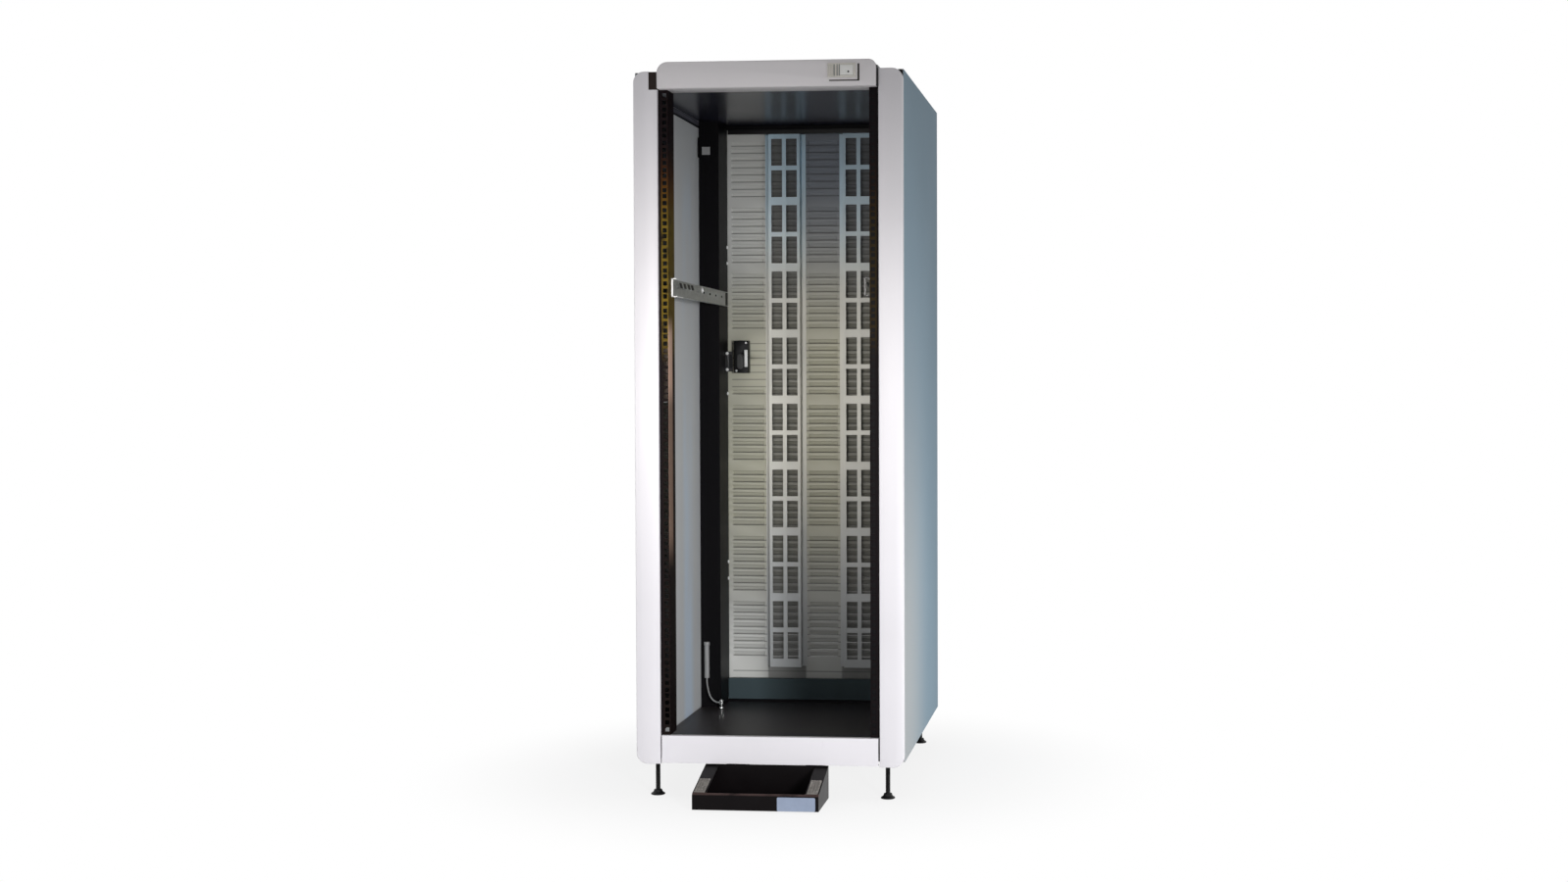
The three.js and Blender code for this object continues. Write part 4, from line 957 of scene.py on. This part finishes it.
class RACK_OT_rails(RackOperator):
    """Finishes the rack rails and builds the chassis runners with their end clips"""

    bl_idname = "rack.rails"
    bl_label = "Rails and runners"

    wedge_starts = (-0.268, -0.228, -0.186, -0.15)
    bolt_place = -0.039
    # Foot and top of the pale pink length on the left baffle
    rubbed_foot, rubbed_top = 0.88, 1.006

    def make(self):
        for side, inwards in INWARDS.items():
            dress(side + "_rack_rail", "rail")
            formed(side + "_chassis_runner", "zinc", 0.5 * MM, 1)
            self.end_clip(side, inwards)
            self.runner_fittings(side, inwards)
        self.baffles()
        self.backing()

    def end_clip(self, side, inwards):
        """Bent wire clip round the runner's front end."""
        low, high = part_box(side + "_chassis_runner")
        rail_low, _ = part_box(side + "_rack_rail")
        face, front = inner_face(side, "rack_rail"), rail_low.y + 15 * MM
        root, bend, tip = (face + inwards * reach * MM for reach in (3, 12.6, 14.4))
        edge = min(root, tip)
        lower, upper = low.z - 2.4 * MM, high.z + 2.4 * MM
        corners = [((edge, front, lower), (edge + 4 * MM, front + 2 * MM, upper))]
        for height, reach in ((lower, 72 * MM), (upper - 2 * MM, 26 * MM)):
            top = height + 2.4 * MM
            corners.append(((root, front, height), (tip, front + 2 * MM, top)))
            corners.append(((bend, front, height), (tip, front + reach, top)))
        # The left clip is in the glint paint, a painted highlight; the right one is dark steel
        blocks(side + "_runner_clip", "cabinet", "glint" if side == "left" else "thread",
               corners, 0.5 * MM)

    def runner_fittings(self, side, inwards):
        """Dark wedges on the runner's upper half and a ringed bolt."""
        low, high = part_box(side + "_chassis_runner")
        face = inner_face(side, "chassis_runner")
        near, far = face + inwards * 0.1 * MM, face + inwards * 1.1 * MM
        bm = bmesh.new()
        for start in self.wedge_starts:
            for v in cube(bm, (near, start, low.z + 20 * MM),
                          (far, start + 20 * MM, high.z - 6 * MM)):
                if v.co.z > low.z + 24 * MM:
                    v.co.y -= 12 * MM
        soften(bm, 0.3 * MM)
        settle(bm, side + "_runner_wedges", "cabinet", "plastic")
        bolt = bmesh.new()
        lathe(bolt, [(0, 0.5 * MM), (3.5 * MM, 0.5 * MM), (4 * MM, 2 * MM), (6 * MM, 2 * MM),
                     (7 * MM, 1.2 * MM), (7 * MM, 0), (0, 0)],
              (near, self.bolt_place, (low.z + high.z) / 2 + 6 * MM), inwards * RIGHT, 32)
        # The bolt is in the glint paint: painted highlight
        settle(bolt, side + "_runner_bolt", "cabinet", "glint")

    def baffles(self):
        """Air baffle on the left post's inner face, with a pale pink length at mid-height."""
        low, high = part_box("left_front_post")
        rail_low, rail_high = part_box("left_rack_rail")
        inner = high.x + 0.3 * MM
        rubbed = self.rubbed_foot + 1 * MM, self.rubbed_top - 1 * MM
        for name, finish, lengths in (
                ("left_air_baffles", "frame", ((rail_low.z + 6 * MM, self.rubbed_foot),
                                               (self.rubbed_top, rail_high.z - 6 * MM))),
                ("left_rail_backing", "backing", (rubbed,))):
            blocks(name, "cabinet", finish, [
                ((inner, low.y + 12 * MM, foot), (inner + 1.5 * MM, high.y + 52 * MM, top))
                for foot, top in lengths], 0.4 * MM, 1)

    def backing(self):
        """Dark strip behind the right rail's front flange, a painted shade for what shows through
        the rail's holes.
        """
        low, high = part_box("right_rack_rail")
        post_low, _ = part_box("right_front_post")
        # Painted shade: a dark strip so the holes show dark
        blocks("right_rail_backing", "cabinet", "frame", [
            ((low.x + 2.6 * MM, low.y + 3.2 * MM, low.z + 3 * MM),
             (post_low.x - 0.4 * MM, low.y + 4.4 * MM, high.z - 3 * MM)),
        ], 0.3 * MM, 1)


class RACK_OT_trims(RackOperator):
    """Builds the corner trims, the kick panel and the hinge block"""

    bl_idname = "rack.trims"
    bl_label = "Trims"

    def make(self):
        for side in INWARDS:
            formed(side + "_corner_trim", "trim", 0.4 * MM, 2, 50)
        formed("kick_panel", "trim", 0.7 * MM, 3)
        formed("door_hinge_block", "hinge", 0.6 * MM, 2, 50)


class RACK_OT_header(RackOperator):
    """Builds the header fascia, the switch bezel and the power button"""

    bl_idname = "rack.header"
    bl_label = "Header"

    rib_gaps = (0.1515, 0.158)

    def make(self):
        formed("header_fascia", "header", 0.4 * MM, 2, 50)
        formed("switch_bezel", "switch", 0.3 * MM, 2, 50)
        formed("power_button", "button", 0.4 * MM, 2, 50)
        self.pip()
        self.bezel_edge()
        self.end_gasket()

    def pip(self):
        """Dark pip in the button's face."""
        low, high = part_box("power_button")
        centre = (low + high) / 2
        bm = bmesh.new()
        lathe(bm, [(0, 0.35 * MM), (1.9 * MM, 0.25 * MM), (2.6 * MM, 0), (2.6 * MM, -0.8 * MM),
                   (0, -0.8 * MM)],
              (centre.x + 4 * MM, low.y + 0.15 * MM, centre.z - 4 * MM), -BACK, 24)
        settle(bm, "button_pip", "power_button", "plastic")

    def bezel_edge(self):
        """Dark strip at the bezel's right and foot, a painted shadow of the bezel, and dark gaps
        between its ribs.
        """
        low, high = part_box("switch_bezel")
        button_low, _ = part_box("power_button")
        fascia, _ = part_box("header_fascia")
        front, behind = fascia.y - 0.9 * MM, fascia.y - 0.05 * MM
        foot, right = low.z - 7.6 * MM, high.x + 4.2 * MM
        # Painted shadow: the bezel's shadow to its right and below it
        blocks("bezel_frame", "cabinet", "hinge", [
            ((right, front, foot), (right + 4 * MM, behind, high.z - 1 * MM)),
            ((low.x + 3 * MM, front, foot), (right, behind, low.z - 5 * MM)),
        ], 0.25 * MM)
        blocks("bezel_gaps", "cabinet", "sill", [
            ((x - 0.7 * MM, low.y - 0.35 * MM, low.z + 3 * MM),
             (x + 0.7 * MM, low.y - 0.05 * MM, high.z - 3 * MM))
            for x in (*self.rib_gaps, button_low.x - 1.6 * MM)], 0)

    def end_gasket(self):
        """Black strip in the slit between the header and the right trim."""
        low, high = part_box("header_fascia")
        trim_low, trim_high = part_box("right_corner_trim")
        blocks("header_end_gasket", "cabinet", "plastic", [
            ((high.x + 0.2 * MM, low.y + 5 * MM, low.z + 1 * MM),
             (trim_low.x - 0.2 * MM, high.y - 8 * MM, trim_high.z + 6 * MM)),
        ], 0.4 * MM)


class RACK_OT_covers(RackOperator):
    """Builds the side covers with their seals, and the top cover"""

    bl_idname = "rack.covers"
    bl_label = "Covers"

    cover_sheet = 1.5 * MM
    seal_foot, seal_top, flange_foot = 1.5672, 1.5712, 1.5716

    def make(self):
        formed("top_cover", "top", 0.4 * MM)
        for side, inwards in INWARDS.items():
            formed(side + "_side_cover", "cover", 0.6 * MM, 3)
            self.seal(side, inwards)

    def seal(self, side, inwards):
        """Foam seal along the top of the cover's inside, under the roof's side flange, drawn black
        so that it also stands in for the shadow in that joint. The flange is a grey piece, the pan
        black made lighter as painted light.
        """
        low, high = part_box(side + "_side_cover")
        wall = (low.x if side == "left" else high.x) + inwards * self.cover_sheet
        _, post_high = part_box(side + "_front_post")
        _, sleeve_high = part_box("earth_sleeve")
        roof_low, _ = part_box("roof_pan")
        front, back = post_high.y + 4 * MM, sleeve_high.y - 2 * MM
        # The flange's light grey stands in for the light on it: painted light
        for name, finish, slot, reach, foot, top in (
                ("_cover_seal", "frame", "black_plastic", 3.2 * MM, self.seal_foot, self.seal_top),
                ("_roof_flange", "flange", "black_paint", 2.4 * MM, self.flange_foot,
                 roof_low.z - 0.3 * MM)):
            blocks(side + name, "cabinet", finish, [
                ((wall, front, foot), (wall + inwards * reach, back, top))], 0.8 * MM)


class RACK_OT_rear_door(RackOperator):
    """Builds the rear door from one sheet with pressed louvres, and its stiffeners"""

    bl_idname = "rack.rear_door"
    bl_label = "Rear door"

    # Louvres of the lock's column this near to it are left out
    lock_plain = 75 * MM
    spindle_half = 6.5 * MM
    # How far a hood's sides and brow are drawn in from the edges of its louvre
    draw_in = 3 * MM

    def make(self):
        self.sheet()
        for side in INWARDS:
            formed(side + "_door_stiffener", "stiffener", 0.5 * MM)

    def row_tops(self):
        measures = sizes()
        return [first_louvre() - group * measures.group_pitch - row * measures.louvre_pitch
                for group in range(LOUVRE_GROUPS) for row in range(LOUVRE_ROWS)]

    def sheet(self):
        measures = sizes()
        low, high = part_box("rear_door")
        skin = high.y - measures.louvre_rise
        bm = bmesh.new()
        corners = [(low.x, high.z), (high.x, high.z), (high.x, low.z), (low.x, low.z)]
        face = bm.faces.new([bm.verts.new((x, skin, z)) for x, z in corners])
        face.normal_update()
        tops = self.row_tops()
        height = measures.louvre_height
        for x in sorted(edge for column in LOUVRE_COLUMNS for edge in column):
            score(bm, (x, skin, 0), RIGHT)
        for top in tops:
            score(bm, (0, skin, top), UP)
            score(bm, (0, skin, top - height), UP)
        self.spindle_hole(bm, skin)
        self.press(bm, self.louvre_cells(bm, tops, height), measures.louvre_rise)
        rim = [e for e in bm.edges if e.is_boundary and self.on_edge(e, low, high)]
        flange = bmesh.ops.extrude_edge_only(bm, edges=rim)["geom"]
        moved = [v for v in flange if isinstance(v, bmesh.types.BMVert)]
        bmesh.ops.translate(bm, verts=moved, vec=(0, low.y - skin, 0))
        bmesh.ops.remove_doubles(bm, verts=bm.verts, dist=WELD)
        bmesh.ops.recalc_face_normals(bm, faces=bm.faces)
        if sum(f.normal.y * f.calc_area() for f in bm.faces) < 0:
            bmesh.ops.reverse_faces(bm, faces=bm.faces)
        wall = stand_in(bm, "rear_door_sheet", "rear_door", "door", 25).modifiers.new(
            "sheet", "SOLIDIFY")
        wall.thickness = measures.sheet
        wall.offset = -1
        wall.use_even_offset = True

    def on_edge(self, edge, low, high):
        middle = (edge.verts[0].co + edge.verts[1].co) / 2
        return min(abs(middle.x - low.x), abs(middle.x - high.x),
                   abs(middle.z - low.z), abs(middle.z - high.z)) < WELD

    def spindle_hole(self, bm, skin):
        """A square hole behind the rosette for the lock's spindle."""
        low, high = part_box("handle_rosette")
        centre = (low + high) / 2
        centre.y = skin
        reach = self.spindle_half
        for normal in (RIGHT, UP):
            for side in (-reach, reach):
                near = [f for f in bm.faces
                        if (f.calc_center_median() - centre).length < 45 * MM]
                score(bm, centre + side * normal, normal, near)
        inside = [f for f in bm.faces
                  if all(abs((f.calc_center_median() - centre)[axis]) < reach for axis in (0, 2))]
        bmesh.ops.delete(bm, geom=inside, context="FACES")

    def louvre_cells(self, bm, tops, height):
        """The faces that become louvres."""
        low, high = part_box("handle_rosette")
        lock = (low.z + high.z) / 2
        cells = []
        for f in bm.faces:
            middle = f.calc_center_median()
            column = next((c for c in LOUVRE_COLUMNS if c[0] < middle.x < c[1]), None)
            top = next((t for t in tops if t - height < middle.z < t), None)
            if column is None or top is None:
                continue
            if column != LOUVRE_COLUMNS[0] or abs(top - height / 2 - lock) >= self.lock_plain:
                cells.append(f)
        return cells

    def press(self, bm, cells, rise):
        """Pushes each cell out to a hood that is open at its foot."""
        pressed = bmesh.ops.extrude_discrete_faces(bm, faces=cells)["faces"]
        mouths = []
        for f in pressed:
            middle = f.calc_center_median()
            mouths.extend(wall for e in self.foot_edges(f) for wall in e.link_faces
                          if wall is not f)
            for v in f.verts:
                at_foot = v.co.z < middle.z
                v.co.y += rise if at_foot else HOOD_BROW * rise
                v.co.x += self.draw_in if v.co.x < middle.x else -self.draw_in
                v.co.z -= 0 if at_foot else self.draw_in
        brows = []
        for f in pressed:
            foot = self.foot_edges(f)
            brows.extend(e for e in f.edges if e not in foot)
        bmesh.ops.delete(bm, geom=once(mouths), context="FACES")
        bevel(bm, brows, 1.1 * MM, 2)

    def foot_edges(self, face):
        foot = min(v.co.z for v in face.verts)
        return [e for e in face.edges if all(abs(v.co.z - foot) < WELD for v in e.verts)]


class RACK_OT_lock(RackOperator):
    """Builds the door lock, its lever and key plug, and the strike"""

    bl_idname = "rack.lock"
    bl_label = "Lock"

    rib_heights = (0.9925, 0.977)
    rib_left, rib_right = -0.2185, -0.208
    bore_radius = 6.6 * MM
    hub_radius = 17 * MM
    hub_bore, plug_bore = 6.4 * MM, 8 * MM
    arm_half = 8.5 * MM

    def make(self):
        formed("lock_case", "plastic", 0.5 * MM, 2, 50)
        self.case_face()
        # The clip is in the glint paint: a painted highlight along its bar
        formed("lock_clip", "glint", 0.4 * MM)
        formed("lock_cam", "thread", 0.5 * MM, 2, 40)
        dress("lock_spindle", "thread")
        self.rosette()
        self.lever()
        formed("key_plug", "bright", 0.4 * MM, 2, 40)
        formed("strike_angle", "thread", 0.5 * MM)
        formed("strike_wear_pad", "plastic", 0.5 * MM, 2, 40)
        self.strike_screws()

    def axis_point(self, y):
        low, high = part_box("handle_rosette")
        return Vector(((low.x + high.x) / 2, y, (low.z + high.z) / 2))

    def case_face(self):
        """Two raised strips in the glint paint that stand in for two highlights, and two screws, on
        the lock case.
        """
        low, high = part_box("lock_case")
        middle = (low.z + high.z) / 2
        # Painted highlights: two near-white strips where the case catches the light
        blocks("lock_case_ribs", "rear_door", "glint", [
            ((self.rib_left, low.y - 1.4 * MM, height - 2 * MM),
             (self.rib_right, low.y - 0.05 * MM, height + 2 * MM))
            for height in self.rib_heights], 0.5 * MM)
        screws("lock_case_screws", "rear_door", 3 * MM, -BACK,
               [(high.x - 6 * MM, low.y, middle + 36 * MM),
                (low.x + 7 * MM, low.y, middle - 36 * MM)])

    def rosette(self):
        low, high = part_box("handle_rosette")
        radius, depth, bore = (high.x - low.x) / 2, high.y - low.y, self.bore_radius
        bm = bmesh.new()
        lathe(bm, [(bore, 0), (radius, 0), (radius, 0.5 * depth), (0.94 * radius, 0.85 * depth),
                   (0.86 * radius, depth), (0.8 * radius, depth), (bore, depth), (bore, 0)],
              self.axis_point(low.y), BACK, 48)
        stand_in(bm, "handle_rosette_disc", "handle_rosette", "plastic")

    def lever(self):
        """Hub with a rounded rim and an arm that tapers and curls at its tip."""
        low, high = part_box("lever_handle")
        hub, bore, plug, depth = self.hub_radius, self.hub_bore, self.plug_bore, high.y - low.y
        bm = bmesh.new()
        lathe(bm, [(bore, 0), (0.88 * hub, 0), (hub, 0.12 * depth), (hub, 0.84 * depth),
                   (0.93 * hub, 0.96 * depth), (0.82 * hub, depth), (plug, depth),
                   (plug, 0.45 * depth), (bore, 0.45 * depth), (bore, 0)],
              self.axis_point(low.y), BACK, 48)
        arm = bmesh.new()
        centre = self.axis_point(0)
        root, tip = centre.x + 0.75 * hub, high.x
        cube(arm, (root, high.y - 10 * MM, centre.z - self.arm_half),
             (tip, high.y, centre.z + self.arm_half))
        for share in (0.25, 0.5, 0.75, 0.92):
            score(arm, (root + share * (tip - root), 0, 0), RIGHT)
        for v in arm.verts:
            along = (v.co.x - root) / (tip - root)
            v.co.z = centre.z + (v.co.z - centre.z) * (1 - 0.24 * along)
            if along > 0.95 and v.co.y < high.y - 5 * MM:
                v.co.x -= 1.5 * MM
        soften(arm, 3.2 * MM, 4, 50)
        mesh = bpy.data.meshes.new("arm")
        arm.to_mesh(mesh)
        arm.free()
        bm.from_mesh(mesh)
        bpy.data.meshes.remove(mesh)
        stand_in(bm, "lever_handle_shaped", "lever_handle", "plastic")

    def strike_screws(self):
        """Screws at both ends of the strike, in the glint paint: painted highlights."""
        low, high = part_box("strike_angle")
        screws("strike_screws", "cabinet", 4.2 * MM, -BACK,
               [(low.x + 4.5 * MM, low.y - 0.05 * MM, height)
                for height in (low.z + 5 * MM, high.z - 5 * MM)])


class RACK_OT_hinges(RackOperator):
    """Builds the rear door's hinge brackets"""

    bl_idname = "rack.hinges"
    bl_label = "Hinges"

    def make(self):
        for place in ("upper", "lower"):
            formed(place + "_hinge_bracket", "zinc", 0.4 * MM, 2, 40)


class RACK_OT_stabiliser(RackOperator):
    """Builds the stabiliser with its arms, guides, studded treads and blank plate"""

    bl_idname = "rack.stabiliser"
    bl_label = "Stabiliser"

    pad_thickness = 2 * MM
    studs_across, studs_along = 4, 9

    def make(self):
        formed("stabiliser_foot", "tray", 1.0 * MM, 3)
        for side in INWARDS:
            formed(side + "_stabiliser_arm", "tray", 0.5 * MM)
            formed(side + "_stabiliser_guide", "zinc", 0.4 * MM)
            self.tread(side)
        self.plate()

    def tread(self, side):
        """A sloping rubber pad with rows of small studs that narrow to their tops."""
        node = side + "_tread_pad"
        low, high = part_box(node)
        bm = copy_of(node)
        soften(bm, 0.5 * MM)
        span = high - low
        slope = (span.z - self.pad_thickness) / span.y
        half = span.x / self.studs_across * 0.36
        for i in range(self.studs_across):
            for j in range(self.studs_along):
                x = low.x + (i + 0.5) / self.studs_across * span.x
                y = low.y + (j + 0.5) / self.studs_along * span.y
                z = low.z + self.pad_thickness + slope * (y - low.y)
                for v in cube(bm, (x - half, y - half, z - 0.3 * MM),
                              (x + half, y + half, z + 1.1 * MM)):
                    v.co.z += slope * (v.co.y - y)
                    if v.co.z > z + slope * (v.co.y - y) + 0.5 * MM:
                        v.co.x = x + (v.co.x - x) * 0.6
                        v.co.y = y + (v.co.y - y) * 0.6
        stand_in(bm, side + "_tread_studs", node, "tread")

    def plate(self):
        """Blank film plate with rounded corners and a thin raised rim."""
        bm = bmesh.new()
        cube(bm, *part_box("blank_plate"))
        bevel(bm, [e for e in bm.edges
                   if abs((e.verts[0].co - e.verts[1].co).normalized().y) > 0.9], 2.5 * MM, 5)
        front = [f for f in bm.faces if f.normal.y < -0.9]
        bmesh.ops.inset_region(bm, faces=front, thickness=1.6 * MM, depth=-0.3 * MM)
        stand_in(bm, "blank_plate_film", "blank_plate", "plate")


class RACK_OT_feet(RackOperator):
    """Builds the levelling feet with real threads"""

    bl_idname = "rack.feet"
    bl_label = "Levelling feet"

    socket_radius = 5.8 * MM
    # Shares of the pad's radius and height, from the floor up to the socket's rim
    pad_profile = ((0, 0), (0.9, 0), (1, 0.08), (1, 0.2), (0.94, 0.3), (0.74, 0.46), (0.62, 0.66),
                   (0.57, 0.92), (0.5, 1))
    steps = 16

    def make(self):
        for row in ("front", "rear"):
            for side in INWARDS:
                self.pad(f"{row}_{side}_foot")
                self.thread(f"{row}_{side}_foot")

    def pad(self, foot):
        low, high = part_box(foot + "_pad")
        radius = (high.x - low.x) / 2
        tall = high.z - low.z
        socket = self.socket_radius
        bm = bmesh.new()
        lathe(bm, [*((across * radius, up * tall) for across, up in self.pad_profile),
                   (socket, tall), (socket, 0.48 * tall), (0, 0.48 * tall)],
              ((low.x + high.x) / 2, (low.y + high.y) / 2, low.z), UP, 40)
        stand_in(bm, foot + "_disc", foot + "_pad", "plastic")

    def thread(self, foot):
        """A helical thread: a zigzag spun once while it climbs by one pitch."""
        measures = sizes()
        low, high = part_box(foot + "_stem")
        centre = Vector(((low.x + high.x) / 2, (low.y + high.y) / 2, 0))
        crest = (high.y - low.y) / 2
        root = crest - measures.thread_depth
        pitch = measures.thread_pitch
        turns = int((high.z - low.z) / pitch) - 1
        bm = bmesh.new()
        verts = [bm.verts.new(centre + (crest if i % 2 else root) * RIGHT
                              + (low.z + i * pitch / 2) * UP) for i in range(2 * turns + 1)]
        edges = [bm.edges.new(pair) for pair in zip(verts, verts[1:])]
        bmesh.ops.spin(bm, geom=verts + edges, cent=centre, axis=UP,
                       dvec=(0, 0, pitch / self.steps), angle=math.tau, steps=self.steps,
                       use_merge=False)
        bmesh.ops.remove_doubles(bm, verts=bm.verts, dist=WELD)
        bmesh.ops.holes_fill(bm, edges=[e for e in bm.edges if e.is_boundary])
        bmesh.ops.recalc_face_normals(bm, faces=bm.faces)
        stand_in(bm, foot + "_thread", foot + "_stem", "thread")


class RACK_PT_sidebar(bpy.types.Panel):
    """Lists the cabinet's settings and its operators"""

    bl_idname = "RACK_PT_sidebar"
    bl_label = "Rack cabinet"
    bl_space_type = "VIEW_3D"
    bl_region_type = "UI"
    bl_category = "Rack"

    def draw(self, context):
        layout = self.layout
        scene = context.scene
        for group in (scene.rack_colours, scene.rack_sizes, scene.rack_stage):
            box = layout.box()
            for name in type(group).__annotations__:
                box.prop(group, name)
        for operator in OPERATORS:
            layout.operator(operator.bl_idname)


SETTINGS = {"rack_colours": RackColours, "rack_sizes": RackSizes, "rack_stage": RackStage}
OPERATORS = (
    RACK_OT_stage, RACK_OT_earth, RACK_OT_frame, RACK_OT_rails, RACK_OT_trims, RACK_OT_header,
    RACK_OT_covers, RACK_OT_rear_door, RACK_OT_lock, RACK_OT_hinges, RACK_OT_stabiliser,
    RACK_OT_feet,
)


def register():
    for name, group in SETTINGS.items():
        bpy.utils.register_class(group)
        setattr(bpy.types.Scene, name, PointerProperty(type=group))
    for operator in OPERATORS:
        bpy.utils.register_class(operator)
    bpy.utils.register_class(RACK_PT_sidebar)


def unregister():
    bpy.utils.unregister_class(RACK_PT_sidebar)
    for operator in reversed(OPERATORS):
        bpy.utils.unregister_class(operator)
    for name, group in SETTINGS.items():
        delattr(bpy.types.Scene, name)
        bpy.utils.unregister_class(group)


def main():
    register()
    for operator in OPERATORS:
        category, name = operator.bl_idname.split(".")
        getattr(getattr(bpy.ops, category), name)()


if __name__ == "__main__":
    main()
